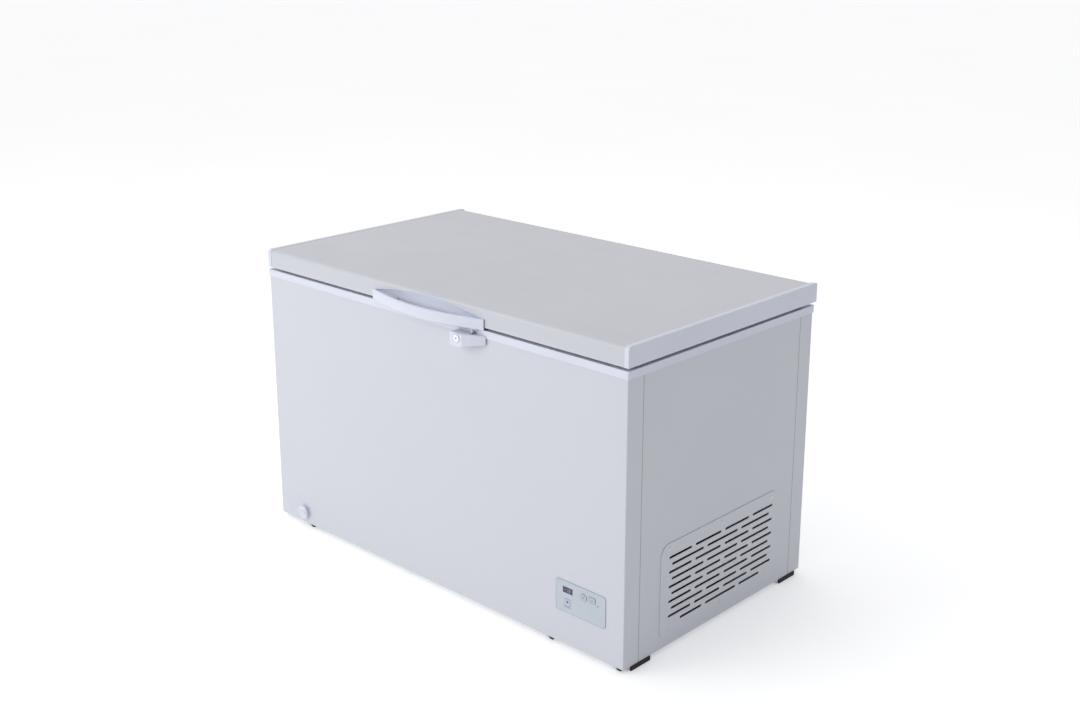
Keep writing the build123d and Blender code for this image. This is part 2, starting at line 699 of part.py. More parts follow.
def lid_catch():
    """The staple under the handle that the lock's bolt passes through."""
    plate = slab(CATCH_X - 1.5, CATCH_X + 1.5, Y_FRONT - 13, Y_FRONT - 3.8, 709, GRIP_LOW)
    foot = slab(CATCH_X - 14, CATCH_X + 14, Y_FRONT - 11, Y_FRONT - 3.8, GRIP_LOW - 1.5, GRIP_LOW)
    window = slab(CATCH_X - 3, CATCH_X + 3, BOLT_Y - 2.3, BOLT_Y + 2.3, BOLT_Z - 4, BOLT_Z + 4)
    return plate + foot - window


# ---------------------------------------------------------------- hinges


def hinge_housing(side):
    """A steel channel on the cabinet's back with two ears for the pin."""
    x = side * HINGE_X
    outer = slab(x - HINGE_HALF, x + HINGE_HALF, Y_REAR, Y_REAR + 14, HINGE_LOW, RIM_LOW - 1)
    inner = slab(x - HINGE_HALF + 2, x + HINGE_HALF - 2, Y_REAR + 2, Y_REAR + 15, HINGE_LOW + 2,
                 RIM_LOW)
    channel = outer - inner
    for s in (-1, 1):
        x0, x1 = sorted((x + s * HINGE_HALF, x + s * (HINGE_HALF - 2)))
        channel += slab(x0, x1, Y_REAR + RIM_PROUD + 0.5, Y_REAR + 14, RIM_LOW - 2, PIVOT_Z + 7)
    return channel - rod_x(x - 40, x + 40, PIVOT_Y, PIVOT_Z, PIN_R + 0.02)


def hinge_housings():
    return Compound(children=[hinge_housing(-1), hinge_housing(1)])


def hinge_covers():
    """Plastic covers over the spring channels."""
    covers = []
    for side in (-1, 1):
        x = side * HINGE_X
        cover = slab(x - 29, x + 29, Y_REAR + 14, Y_REAR + HINGE_PROUD, HINGE_LOW, RIM_LOW - 6)
        covers.append(fillet(cover.edges().filter_by(Axis.Y), 4))
    return Compound(children=covers)


def hinge_pins():
    pins = []
    for side in (-1, 1):
        x = side * HINGE_X
        pin = rod_x(x - HINGE_HALF, x + HINGE_HALF, PIVOT_Y, PIVOT_Z, PIN_R)
        ends = (x - HINGE_HALF - 1.5, x + HINGE_HALF)
        for x0 in ends:
            pin += rod_x(x0, x0 + 1.5, PIVOT_Y, PIVOT_Z, PIN_R + 1.5)
        pins.append(pin)
    return Compound(children=pins)


def hinge_springs():
    springs = []
    for side in (-1, 1):
        helix = Helix(pitch=5.0, height=50.0, radius=4.0)
        wire = sweep(Plane(helix @ 0, z_dir=helix % 0) * Circle(0.8), path=helix, is_frenet=True)
        springs.append(Pos(side * HINGE_X, Y_REAR + 8, HINGE_LOW + 4) * wire)
    return Compound(children=springs)


def hinge_follower(side):
    """The block that the spring pushes up as the lid opens."""
    x = side * HINGE_X
    block = slab(x - 26, x + 26, Y_REAR + 3, Y_REAR + 13, HINGE_LOW + 57, HINGE_LOW + 71)
    return fillet(block.edges().filter_by(Axis.Y), 3)


def hinge_follower_left():
    return hinge_follower(-1)


def hinge_follower_right():
    return hinge_follower(1)


def hinge_leaf(side):
    """The lid's half of a hinge: a plate on the lid's back and two eyes round the pin."""
    x = side * HINGE_X
    plate = slab(x - 26, x + 26, LID_REAR, LID_REAR + 2, LID_LOW + 4, LID_TOP - 12)
    for s in (-1, 1):
        x0, x1 = sorted((x + s * 26, x + s * 23))
        arm_face = Plane((x0, 0, 0), x_dir=(0, 1, 0), z_dir=(1, 0, 0)) * Polygon(
            (LID_REAR, LID_LOW + 4), (PIVOT_Y - 4, PIVOT_Z - 2), (PIVOT_Y + 4.5, PIVOT_Z),
            (LID_REAR + 2, LID_LOW + 30), align=None)
        plate += extrude(arm_face, amount=x1 - x0)
        plate += rod_x(x0, x1, PIVOT_Y, PIVOT_Z, 6.0)
    return plate - rod_x(x - 40, x + 40, PIVOT_Y, PIVOT_Z, PIN_R + PIN_FIT)


def hinge_leaves():
    return Compound(children=[hinge_leaf(-1), hinge_leaf(1)])


# ---------------------------------------------------------------- lid


def scoop_outline(grow):
    """The pointed lens that the handle fills in the lid's front face."""
    plane = Plane((0, LID_FRONT - 1, SCOOP_Z), x_dir=(1, 0, 0), z_dir=(0, -1, 0))
    half = SCOOP_HALF + grow
    rise = SCOOP_H + grow
    upper = ThreePointArc((-half, 0), (0, rise), (half, 0))
    lower = ThreePointArc((half, 0), (0, -rise), (-half, 0))
    return plane * make_face([upper, lower])


def lid_skin():
    outer = extrude(lid_profile(-SHEET_END, LID_FRONT, LID_REAR, LID_LOW, SHEET_TOP, LID_EDGE_R, 4),
                    amount=2 * SHEET_END)
    inner = extrude(lid_profile(-SHEET_END - 1, LID_FRONT + SHEET, LID_REAR - SHEET, LID_LOW - 5,
                                SHEET_TOP - SHEET, LID_EDGE_R - SHEET, 3.2),
                    amount=2 * SHEET_END + 2)
    skin = outer - inner
    for y0, y1 in ((LID_FRONT, LID_FRONT + HEM), (LID_REAR - HEM, LID_REAR)):
        skin += slab(-SHEET_END, SHEET_END, y0, y1, LID_LOW, LID_LOW + SHEET)
    opening = extrude(scoop_outline(0.2), amount=-4)
    return skin - opening


def lid_end_cap(side):
    """A moulded cap over the end of the lid, open towards the foam."""
    x0, x1 = sorted((side * SHEET_END, side * CAP_END))
    y0 = LID_FRONT - 0.5
    cap = extrude(lid_profile(x0, y0, CAP_REAR, LID_LOW, LID_TOP, LID_EDGE_R, 6), amount=x1 - x0)
    inner_start = min(side * (SHEET_END - 1), side * (CAP_END - CAP_T))
    hollow = lid_profile(inner_start, y0 + CAP_T, LID_REAR - CAP_T, LID_LOW + CAP_T, LID_TOP - CAP_T,
                         LID_EDGE_R - CAP_T, 3.5)
    return cap - extrude(hollow, amount=CAP_END - CAP_T - SHEET_END + 1)


def lid_end_cap_left():
    return lid_end_cap(-1)


def lid_end_cap_right():
    return lid_end_cap(1)


def lid_insulation():
    low = LID_LOW + SHEET + LID_LINER_T
    foam = extrude(lid_profile(-SHEET_END, LID_FRONT + SHEET, LID_REAR - SHEET, low,
                               SHEET_TOP - SHEET, LID_EDGE_R - SHEET, 3.2), amount=2 * SHEET_END)
    inset = PLUG_INSET + LID_LINER_T
    foam += slab(-X_SIDE + inset, X_SIDE - inset, Y_FRONT + inset, Y_REAR - inset,
                 PLUG_LOW + LID_LINER_T, low)
    block = extrude(scoop_outline(0.4), amount=-(SCOOP_DEPTH + 3))
    foam -= block
    for x in HANDLE_SCREWS:
        foam -= rod_y(x, LID_FRONT, LID_FRONT + 32, SCREW_Z, 4.5)
    return foam


def lid_liner():
    """The moulded inner panel, with a raised plug that enters the opening."""
    low = LID_LOW + SHEET
    flange = slab(-SHEET_END, SHEET_END, LID_FRONT + SHEET, LID_REAR - SHEET, low, low + LID_LINER_T)
    plug = slab(-X_SIDE + PLUG_INSET, X_SIDE - PLUG_INSET, Y_FRONT + PLUG_INSET,
                Y_REAR - PLUG_INSET, PLUG_LOW, low)
    inset = PLUG_INSET + LID_LINER_T
    hollow = slab(-X_SIDE + inset, X_SIDE - inset, Y_FRONT + inset, Y_REAR - inset,
                  PLUG_LOW + LID_LINER_T, low + 5)
    pocket = extrude(scoop_outline(0.4), amount=-(SCOOP_DEPTH + 3))
    return flange + plug - hollow - pocket


def lid_gasket():
    top = LID_LOW + SHEET
    return inset_ring(GASKET_INSET, GASKET_INSET + GASKET_W, RIM_TOP + GASKET_GAP, top)


def grip_arc(proud, trim):
    """The bow's curve in plan, standing proud of the lid at its middle."""
    left = (GRIP_LEFT + trim, LID_FRONT)
    right = (GRIP_RIGHT - trim, LID_FRONT)
    middle = ((GRIP_LEFT + GRIP_RIGHT) / 2, Y_FRONT - proud)
    return make_face([ThreePointArc(left, middle, right), Line(right, left)])


def lid_handle():
    """The bow and the scooped block behind it, moulded in one piece."""
    bow = extrude(Pos(0, 0, GRIP_LOW) * grip_arc(HANDLE_PROUD, 0), amount=GRIP_TOP - GRIP_LOW)
    bow -= extrude(Pos(0, 0, GRIP_LOW - 5) * grip_arc(HANDLE_PROUD - GRIP_T, GAP_TRIM), amount=60)
    low = LID_LOW + SHEET + LID_LINER_T + 0.4
    block = extrude(Pos(0, 1, 0) * scoop_outline(0), amount=-SCOOP_DEPTH)
    block &= slab(-SCOOP_HALF, SCOOP_HALF, LID_FRONT - 2, LID_FRONT + 20, low, LID_TOP)
    hollow = Pos(0, LID_FRONT - 9, SCOOP_Z) * scale(Sphere(1), by=(SCOOP_HALF - 22, 19, 21))
    inside = extrude(Pos(0, 0, GRIP_LOW) * grip_arc(HANDLE_PROUD - GRIP_T, 30), amount=60)
    inside += slab(-SCOOP_HALF, SCOOP_HALF, LID_FRONT, LID_FRONT + 20, GRIP_LOW, LID_TOP)
    handle = bow + block - (hollow & inside)
    for x in HANDLE_SCREWS:
        handle -= rod_y(x, SCREW_START, LID_FRONT + 30, SCREW_Z, 2.0)
    return handle


def handle_screws():
    screws = []
    for x in HANDLE_SCREWS:
        back = LID_FRONT + SCOOP_DEPTH
        shank = rod_y(x, SCREW_START, back, SCREW_Z, 1.95)
        screws.append(shank + rod_y(x, back, back + 2.5, SCREW_Z, 4.0))
    return Compound(children=screws)


# ---------------------------------------------------------------- basket


def basket():
    """A hanging basket: a tapered tub with a rim that rests on the collar's ledges."""
    half = BASKET_W / 2
    y0 = Y_IN_FRONT + 9
    y1 = Y_IN_REAR - 9
    tub = slab(BASKET_X - half, BASKET_X + half, y0, y1, BASKET_LOW, LEDGE_TOP + 0.3 + WIRE)
    tub -= slab(BASKET_X - half + WIRE, BASKET_X + half - WIRE, y0 + WIRE, y1 - WIRE,
                BASKET_LOW + WIRE, LEDGE_TOP + 20)
    low = LEDGE_TOP + 0.3
    for rim_y0, rim_y1 in ((Y_FRONT + SHELF_BACK + 3, y0 + 1), (y1 - 1, Y_REAR - SHELF_BACK - 3)):
        tub += slab(BASKET_X - half + 12, BASKET_X + half - 12, rim_y0, rim_y1, low, low + WIRE)
    return tub


PARTS = [
    front_panel, side_panel_left, side_panel_right, rear_panel, base_panel, machine_tray,
    machine_partition, cabinet_insulation, liner_walls, liner_floor, liner_step, top_rim,
    evaporator_coil, condenser_coil, compressor_shell, compressor_baseplate,
    compressor_grommets, compressor_bolts, relay_box, refrigerant_tubes, filter_drier,
    temperature_sensor, compressor_grille, grille_screws, cord_gland,
    control_fascia, display_windows, status_lamp, set_button, power_button,
    control_housing, control_board, foot_brackets, foot_pads, foot_screws,
    drain_escutcheon, drain_pipe, drain_spout, drain_knob, drain_plug,
    lock_housing, lock_barrel, lock_bolt, lid_catch,
    hinge_housings, hinge_covers, hinge_pins, hinge_springs, hinge_follower_left,
    hinge_follower_right, hinge_leaves,
    lid_skin, lid_end_cap_left, lid_end_cap_right, lid_insulation, lid_liner, lid_gasket,
    lid_handle, handle_screws, basket,
]


def main():
    os.makedirs("parts", exist_ok=True)
    for make in PARTS:
        export_step(make(), f"parts/{make.__name__}.step")


main()
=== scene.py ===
import json
import math

import bmesh
import bpy
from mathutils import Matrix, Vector


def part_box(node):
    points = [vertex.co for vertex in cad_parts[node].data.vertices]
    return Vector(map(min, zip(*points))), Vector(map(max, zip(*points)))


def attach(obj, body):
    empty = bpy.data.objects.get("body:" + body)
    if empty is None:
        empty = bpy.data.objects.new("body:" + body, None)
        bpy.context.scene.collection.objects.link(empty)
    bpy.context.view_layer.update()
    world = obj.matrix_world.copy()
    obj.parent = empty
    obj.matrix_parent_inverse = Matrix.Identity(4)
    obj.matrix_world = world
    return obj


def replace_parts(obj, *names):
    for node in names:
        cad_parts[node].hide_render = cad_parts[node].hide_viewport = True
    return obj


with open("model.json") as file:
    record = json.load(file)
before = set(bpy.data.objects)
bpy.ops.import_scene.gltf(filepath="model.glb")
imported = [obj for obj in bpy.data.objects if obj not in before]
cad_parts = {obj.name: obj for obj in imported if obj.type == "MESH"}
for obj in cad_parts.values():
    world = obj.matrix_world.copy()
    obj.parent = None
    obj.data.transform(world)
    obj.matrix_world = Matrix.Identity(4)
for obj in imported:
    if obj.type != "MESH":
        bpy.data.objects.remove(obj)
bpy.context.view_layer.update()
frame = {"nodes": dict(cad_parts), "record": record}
NODES = frame["nodes"]


def middle(node):
    """The middle of a CAD node's box."""
    low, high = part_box(node)
    return (low + high) / 2


# Places read from the CAD model, in metres like every length below
Y_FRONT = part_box("front_panel")[0].y
Y_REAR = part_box("rear_panel")[1].y
X_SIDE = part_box("side_panel_right")[1].x
SKIN_LOW, SKIN_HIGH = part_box("lid_skin")
LID_FRONT = SKIN_LOW.y
HANDLE_LOW, HANDLE_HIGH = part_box("lid_handle")
GRIP_LEFT, GRIP_RIGHT = HANDLE_LOW.x, HANDLE_HIGH.x
GRIP_LOW = HANDLE_LOW.z
BASKET_LOW, BASKET_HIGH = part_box("basket")
LOCK_LOW, LOCK_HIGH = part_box("lock_housing")
BOLT_LOW, BOLT_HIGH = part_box("lock_bolt")
BARREL = middle("lock_barrel")
CATCH_X = middle("lid_catch").x
KNOB = middle("drain_knob")
PANEL = middle("control_fascia")
SET_BUTTON = middle("set_button")
POWER_BUTTON = middle("power_button")

# ---------------------------------------------------------------- materials


class Paint:
    """Builds one procedural material, node by node."""

    def __init__(self, name):
        self.material = bpy.data.materials.new(name)
        self.material.use_nodes = True
        self.tree = self.material.node_tree
        self.shader = self.tree.nodes["Principled BSDF"]
        self.coords = self.node("ShaderNodeTexCoord").outputs["Object"]
        self.height = None

    def node(self, kind, **settings):
        made = self.tree.nodes.new(kind)
        for key, value in settings.items():
            setattr(made, key, value)
        return made

    def link(self, source, target):
        self.tree.links.new(source, target)

    def stretched(self, stretch):
        """The object's coordinates with each axis scaled."""
        mapping = self.node("ShaderNodeMapping")
        self.link(self.coords, mapping.inputs["Vector"])
        mapping.inputs["Scale"].default_value = stretch
        return mapping.outputs["Vector"]

    def noise(self, scale, detail=2.0, roughness=0.5, stretch=(1, 1, 1)):
        made = self.node("ShaderNodeTexNoise")
        made.inputs["Scale"].default_value = scale
        made.inputs["Detail"].default_value = detail
        made.inputs["Roughness"].default_value = roughness
        self.link(self.stretched(stretch), made.inputs["Vector"])
        return made.outputs["Fac"]

    def cells(self, scale, feature="F1"):
        made = self.node("ShaderNodeTexVoronoi", feature=feature)
        made.inputs["Scale"].default_value = scale
        self.link(self.coords, made.inputs["Vector"])
        return made.outputs["Distance"]

    def ramp(self, factor, *stops):
        """Colours along a factor; each stop is a place and a colour."""
        made = self.node("ShaderNodeValToRGB")
        elements = made.color_ramp.elements
        for index, (place, colour) in enumerate(stops):
            element = elements[index] if index < 2 else elements.new(place)
            element.position = place
            element.color = (*colour, 1)
        self.link(factor, made.inputs["Fac"])
        return made.outputs["Color"]

    def colour(self, source):
        self.link(source, self.shader.inputs["Base Color"])

    def rough(self, factor, low, high):
        """Roughness from low to high over the middle of a factor's range."""
        made = self.node("ShaderNodeMapRange")
        ends = {"From Min": 0.3, "From Max": 0.7, "To Min": low, "To Max": high}
        for key, value in ends.items():
            made.inputs[key].default_value = value
        self.link(factor, made.inputs["Value"])
        self.link(made.outputs["Result"], self.shader.inputs["Roughness"])

    def bump(self, factor, strength, distance):
        """Adds a layer of relief on top of the ones before it."""
        made = self.node("ShaderNodeBump")
        made.inputs["Strength"].default_value = strength
        made.inputs["Distance"].default_value = distance
        self.link(factor, made.inputs["Height"])
        if self.height is not None:
            self.link(self.height, made.inputs["Normal"])
        self.height = made.outputs["Normal"]
        self.link(self.height, self.shader.inputs["Normal"])

    def set(self, **values):
        """Sets uniform values on the shader; an underscore stands for a space."""
        for key, value in values.items():
            self.shader.inputs[key.replace("_", " ")].default_value = value


def shade(colour, factor):
    """The colour made lighter or darker by a factor."""
    return tuple(min(1.0, c * factor) for c in colour)


def enamel(name, colour):
    """Stove-enamelled sheet steel: fine orange peel and a faintly uneven white."""
    p = Paint(name)
    clouds = p.noise(1.6, 3.0, 0.5)
    p.colour(p.ramp(clouds, (0.2, shade(colour, 0.985)), (0.8, shade(colour, 1.012))))
    p.rough(p.noise(7.0, 4.0, 0.6), 0.34, 0.44)
    p.bump(p.noise(380.0, 2.0, 0.45), 0.10, 0.0005)
    p.set(Coat_Weight=0.12, Coat_Roughness=0.3)
    return p.material


def moulding(name, colour, rough=(0.34, 0.46), grain=0.12, scale=1500.0):
    """Injection-moulded plastic with a fine spark-eroded grain."""
    p = Paint(name)
    clouds = p.noise(6.0, 3.0, 0.55)
    p.colour(p.ramp(clouds, (0.25, shade(colour, 0.975)), (0.75, shade(colour, 1.015))))
    p.rough(p.noise(40.0, 4.0, 0.6), *rough)
    p.bump(p.noise(scale, 2.0, 0.6), grain, 0.0004)
    return p.material


def rubber(name, colour):
    """Soft vinyl or rubber with bloom and a fine mat surface."""
    p = Paint(name)
    bloom = p.noise(35.0, 5.0, 0.65)
    p.colour(p.ramp(bloom, (0.35, shade(colour, 0.8)), (0.72, shade(colour, 1.35))))
    p.rough(bloom, 0.6, 0.78)
    p.bump(p.noise(900.0, 3.0, 0.6), 0.25, 0.0005)
    p.set(Specular_IOR_Level=0.35)
    return p.material


def plated(name, colour, rough=(0.28, 0.45), spangle=0.0):
    """Bare or zinc-plated steel; spangle adds the crystal flakes of galvanising."""
    p = Paint(name)
    if spangle:
        flakes = p.cells(spangle)
        p.colour(p.ramp(flakes, (0.1, shade(colour, 0.78)), (0.75, shade(colour, 1.12))))
        p.rough(flakes, *rough)
    else:
        grain = p.noise(30.0, 5.0, 0.6, stretch=(1, 1, 9))
        p.colour(p.ramp(grain, (0.3, shade(colour, 0.85)), (0.7, shade(colour, 1.08))))
        p.rough(grain, *rough)
    p.bump(p.noise(700.0, 3.0, 0.55), 0.12, 0.0003)
    p.set(Metallic=1.0)
    return p.material


def stucco(name, colour):
    """Stucco-embossed aluminium: small irregular raised pebbles."""
    p = Paint(name)
    pebbles = p.cells(125.0, "SMOOTH_F1")
    p.colour(p.ramp(pebbles, (0.1, shade(colour, 1.05)), (0.7, shade(colour, 0.93))))
    p.rough(p.noise(14.0, 4.0, 0.6), 0.32, 0.46)
    p.bump(pebbles, 0.35, 0.0022)
    p.bump(p.noise(600.0, 2.0, 0.5), 0.06, 0.0003)
    p.set(Metallic=0.3)
    return p.material


def foam(name):
    """Rigid foam: amber, with open cells at its cut faces."""
    p = Paint(name)
    cells = p.noise(180.0, 5.0, 0.7)
    p.colour(p.ramp(cells, (0.3, (0.52, 0.38, 0.16)), (0.7, (0.80, 0.66, 0.36))))
    p.rough(cells, 0.8, 0.95)
    p.bump(cells, 0.5, 0.0012)
    return p.material


def copper(name):
    """Copper tube with patches of tarnish."""
    p = Paint(name)
    tarnish = p.noise(28.0, 5.0, 0.65)
    p.colour(p.ramp(tarnish, (0.32, (0.36, 0.15, 0.07)), (0.62, (0.86, 0.42, 0.24))))
    p.rough(tarnish, 0.25, 0.5)
    p.bump(p.noise(500.0, 2.0, 0.5), 0.1, 0.0003)
    p.set(Metallic=1.0)
    return p.material


def glow(name, base, light, strength, speckle=160.0):
    """A lit surface: it keeps its own colour and gives off a little light."""
    p = Paint(name)
    grains = p.noise(speckle, 3.0, 0.5)
    p.colour(p.ramp(grains, (0.3, shade(base, 0.9)), (0.7, shade(base, 1.05))))
    p.rough(grains, 0.2, 0.34)
    p.set(Emission_Color=(*light, 1), Emission_Strength=strength)
    return p.material


def smoked(name, colour):
    """Dark printed glass over a display."""
    p = Paint(name)
    haze = p.noise(70.0, 4.0, 0.6)
    p.colour(p.ramp(haze, (0.3, shade(colour, 0.8)), (0.7, shade(colour, 1.25))))
    p.rough(haze, 0.08, 0.16)
    p.bump(p.noise(300.0, 1.0, 0.4), 0.03, 0.0003)
    p.set(Coat_Weight=0.6, Coat_Roughness=0.06)
    return p.material


def laminate(name, colour):
    """A circuit board: green mask with faint tracks."""
    p = Paint(name)
    tracks = p.cells(240.0, "DISTANCE_TO_EDGE")
    p.colour(p.ramp(tracks, (0.02, shade(colour, 2.2)), (0.06, colour)))
    p.rough(tracks, 0.25, 0.4)
    return p.material


WHITE = (0.65, 0.675, 0.765)
FINISH = {
    "cabinet_paint": enamel("cabinet_enamel", (0.575, 0.590, 0.640)),
    "lid_paint": enamel("lid_enamel", (0.546, 0.556, 0.606)),
    "galvanised_steel": plated("galvanised", (0.62, 0.64, 0.66), (0.34, 0.5), spangle=75.0),
    "zinc_hardware": plated("zinc", (0.66, 0.67, 0.68), (0.25, 0.42)),
    "foam": foam("foam_cells"),
    "liner_aluminium": stucco("stucco_aluminium", (0.80, 0.81, 0.82)),
    "white_plastic": moulding("white_moulding", WHITE),
    "liner_plastic": moulding("liner_moulding", (0.76, 0.77, 0.785), (0.3, 0.42), 0.06),
    "grey_plastic": moulding("grey_moulding", (0.42, 0.43, 0.46)),
    "black_plastic": moulding("black_moulding", (0.025, 0.025, 0.028), (0.36, 0.5), 0.2),
    "gasket_vinyl": rubber("gasket", (0.14, 0.145, 0.16)),
    # grey_rubber also colours the dark strips of painted shade at the seams and at the handle's end
    "grey_rubber": rubber("grey_rubber", (0.16, 0.16, 0.17)),
    "black_rubber": rubber("black_rubber", (0.018, 0.018, 0.02)),
    "coil_steel": plated("coil_steel", (0.5, 0.5, 0.52), (0.35, 0.55)),
    "compressor_paint": moulding("black_enamel", (0.02, 0.02, 0.022), (0.22, 0.34), 0.1, 500.0),
    "copper": copper("copper_tube"),
    "panel_film": moulding("panel_film", (0.485, 0.535, 0.590), (0.3, 0.4), 0.16, 2600.0),
    "display_glass": smoked("display_glass", (0.02, 0.02, 0.045)),
    "lamp_lens": glow("lamp_lens", (0.22, 0.26, 0.30), (0.35, 0.6, 0.8), 0.03),
    "button_plastic": moulding("button_moulding", (0.455, 0.500, 0.550), (0.28, 0.38)),
    "lock_metal": plated("lock_metal", (0.86, 0.87, 0.90), (0.38, 0.5)),
    "circuit_board": laminate("board_mask", (0.02, 0.16, 0.06)),
    "basket_wire": moulding("coated_wire", (0.72, 0.73, 0.76), (0.22, 0.36), 0.05, 300.0),
}

# ---------------------------------------------------------------- mesh helpers


def add_mesh(name, verts, faces, slot, body, smooth=True, finish=None):
    """Makes a piece from points and faces; a cutter has no body.

    The piece wears its slot's finish unless another one is given."""
    mesh = bpy.data.meshes.new(name)
    mesh.from_pydata([tuple(v) for v in verts], [], faces)
    bm = bmesh.new()
    bm.from_mesh(mesh)
    bmesh.ops.recalc_face_normals(bm, faces=bm.faces)
    bm.to_mesh(mesh)
    bm.free()
    piece = bpy.data.objects.new(name, mesh)
    bpy.context.scene.collection.objects.link(piece)
    mesh.materials.append(finish or FINISH[slot])
    if smooth:
        mesh.shade_smooth()
    if body:
        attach(piece, body)
    return piece


def soften(piece, width, segments, angle):
    """Rounds the hard edges of a piece and applies the result."""
    bevel = piece.modifiers.new("bevel", "BEVEL")
    bevel.width = width
    bevel.segments = segments
    bevel.limit_method = "ANGLE"
    bevel.angle_limit = math.radians(angle)
    settle(piece)


def settle(piece):
    """Applies every modifier on a piece."""
    graph = bpy.context.evaluated_depsgraph_get()
    mesh = bpy.data.meshes.new_from_object(piece.evaluated_get(graph))
    piece.modifiers.clear()
    piece.data = mesh


def smooth_by_angle(piece, angle):
    """Smooth shading that keeps the edges sharper than the angle."""
    mesh = piece.data
    bm = bmesh.new()
    bm.from_mesh(mesh)
    for face in bm.faces:
        face.smooth = True
    for edge in bm.edges:
        if len(edge.link_faces) == 2:
            edge.smooth = edge.calc_face_angle(0.0) < math.radians(angle)
    bm.to_mesh(mesh)
    bm.free()


def carve(piece, cutter):
    """Cuts one mesh out of another and removes the cutter."""
    cut = piece.modifiers.new("cut", "BOOLEAN")
    cut.operation = "DIFFERENCE"
    cut.solver = "EXACT"
    cut.object = cutter
    settle(piece)
    bpy.data.objects.remove(cutter)


def skin(rings, closed=True, caps=True):
    """Joins rings of equal length with quads; returns points and faces."""
    verts = [v for ring in rings for v in ring]
    count = len(rings[0])
    steps = count if closed else count - 1
    faces = []
    for r in range(len(rings) - 1):
        for i in range(steps):
            j = (i + 1) % count
            faces.append((r * count + i, r * count + j, (r + 1) * count + j, (r + 1) * count + i))
    if caps and closed:
        faces.append(tuple(range(count))[::-1])
        faces.append(tuple((len(rings) - 1) * count + i for i in range(count)))
    return verts, faces


def rounded(w, h, r, steps=5):
    """The outline of a rounded rectangle about its middle, as pairs."""
    points = []
    for sx, sy, start in ((1, 1, 0), (-1, 1, 90), (-1, -1, 180), (1, -1, 270)):
        for k in range(steps + 1):
            a = math.radians(start + 90.0 * k / steps)
            points.append((sx * (w / 2 - r) + r * math.cos(a), sy * (h / 2 - r) + r * math.sin(a)))
    return points


def frame_ring(inset, corner, z, steps):
    """A level rounded rectangle, inset from the cabinet's outer faces."""
    w = 2 * (X_SIDE - inset)
    d = Y_REAR - Y_FRONT - 2 * inset
    centre_y = (Y_FRONT + Y_REAR) / 2
    return [Vector((x, y + centre_y, z)) for x, y in rounded(w, d, corner, steps)]


def turned(name, profile, centre, axis, slot, body, steps=48):
    """A turned piece: pairs of radius and height, spun round an axis from a centre."""
    axis = Vector(axis).normalized()
    side = axis.orthogonal().normalized()
    across = axis.cross(side)
    rings = []
    for radius, height in profile:
        ring = []
        for k in range(steps):
            a = 2 * math.pi * k / steps
            ring.append(Vector(centre) + axis * height
                        + (side * math.cos(a) + across * math.sin(a)) * max(radius, 1e-5))
        rings.append(ring)
    verts, faces = skin(rings)
    return add_mesh(name, verts, faces, slot, body)


def tube_rings(points, radius, sides=10, closed=False):
    """Rings of a round tube that follows a list of points."""
    count = len(points)
    rings = []
    normal = None
    for i, p in enumerate(points):
        before = points[i - 1] if (i > 0 or closed) else p
        after = points[(i + 1) % count] if (i < count - 1 or closed) else p
        along = (after - before).normalized()
        if normal is None:
            normal = along.orthogonal().normalized()
        normal = (normal - along * normal.dot(along)).normalized()
        across = along.cross(normal)
        ring = []
        for k in range(sides):
            a = 2 * math.pi * k / sides
            ring.append(p + (normal * math.cos(a) + across * math.sin(a)) * radius)
        rings.append(ring)
    return rings


def bend(points, radius, steps=5):
    """A path with each inner corner replaced by a short curve."""
    out = [points[0]]
    for i in range(1, len(points) - 1):
        p = points[i]
        start = p + (points[i - 1] - p).normalized() * radius
        end = p + (points[i + 1] - p).normalized() * radius
        for k in range(steps + 1):
            t = k / steps
            out.append(start * (1 - t) ** 2 + p * 2 * t * (1 - t) + end * t ** 2)
    out.append(points[-1])
    return out


class Pile:
    """Collects several shapes into one mesh."""

    def __init__(self):
        self.verts = []
        self.faces = []

    def add(self, verts, faces):
        base = len(self.verts)
        self.verts += verts
        self.faces += [tuple(i + base for i in face) for face in faces]

    def tube(self, points, radius, sides=10):
        self.add(*skin(tube_rings(points, radius, sides)))

    def block(self, low, high):
        x0, y0, z0 = low
        x1, y1, z1 = high
        rings = [[Vector((x, y, z)) for x, y in ((x0, y0), (x1, y0), (x1, y1), (x0, y1))]
                 for z in (z0, z1)]
        self.add(*skin(rings))

    def plate(self, outline, y0, y1):
        """A plate that faces the front, from pairs of x and z."""
        rings = [[Vector((x, y, z)) for x, z in outline] for y in (y0, y1)]
        self.add(*skin(rings))

    def piece(self, name, slot, body, smooth=True, finish=None):
        return add_mesh(name, self.verts, self.faces, slot, body, smooth, finish)


# ---------------------------------------------------------------- handle

GRIP_TOP = 0.776
GRIP_MIDDLE = (GRIP_LEFT + GRIP_RIGHT) / 2
GRIP_HALF = (GRIP_RIGHT - GRIP_LEFT) / 2
GRIP_PROUD = 0.0385
GRIP_THICK = 0.009
GRIP_EDGE_R = 0.0035
STEP_START = 0.120
STEP_PROUD = 0.0028
SCOOP_HALF = 0.200
SCOOP_RISE = 0.0225
SCOOP_IN = 0.0122
SCOOP_FLOOR = 0.7585
WEB_START, WEB_END = 0.114, 0.196


def bow_front(x):
    """How far the bow's face stands in front of the lid at x."""
    radius = (GRIP_HALF ** 2 + GRIP_PROUD ** 2) / (2 * GRIP_PROUD)
    off = x - GRIP_MIDDLE
    return math.sqrt(max(radius ** 2 - off ** 2, 0.0)) - (radius - GRIP_PROUD)


def scoop_arch(x):
    """The height of the scoop at x, as a share of its height in the middle."""
    return max(0.0, 1 - (x / SCOOP_HALF) ** 2)


def scoop_depth(x):
    return SCOOP_IN * scoop_arch(x) ** 0.55


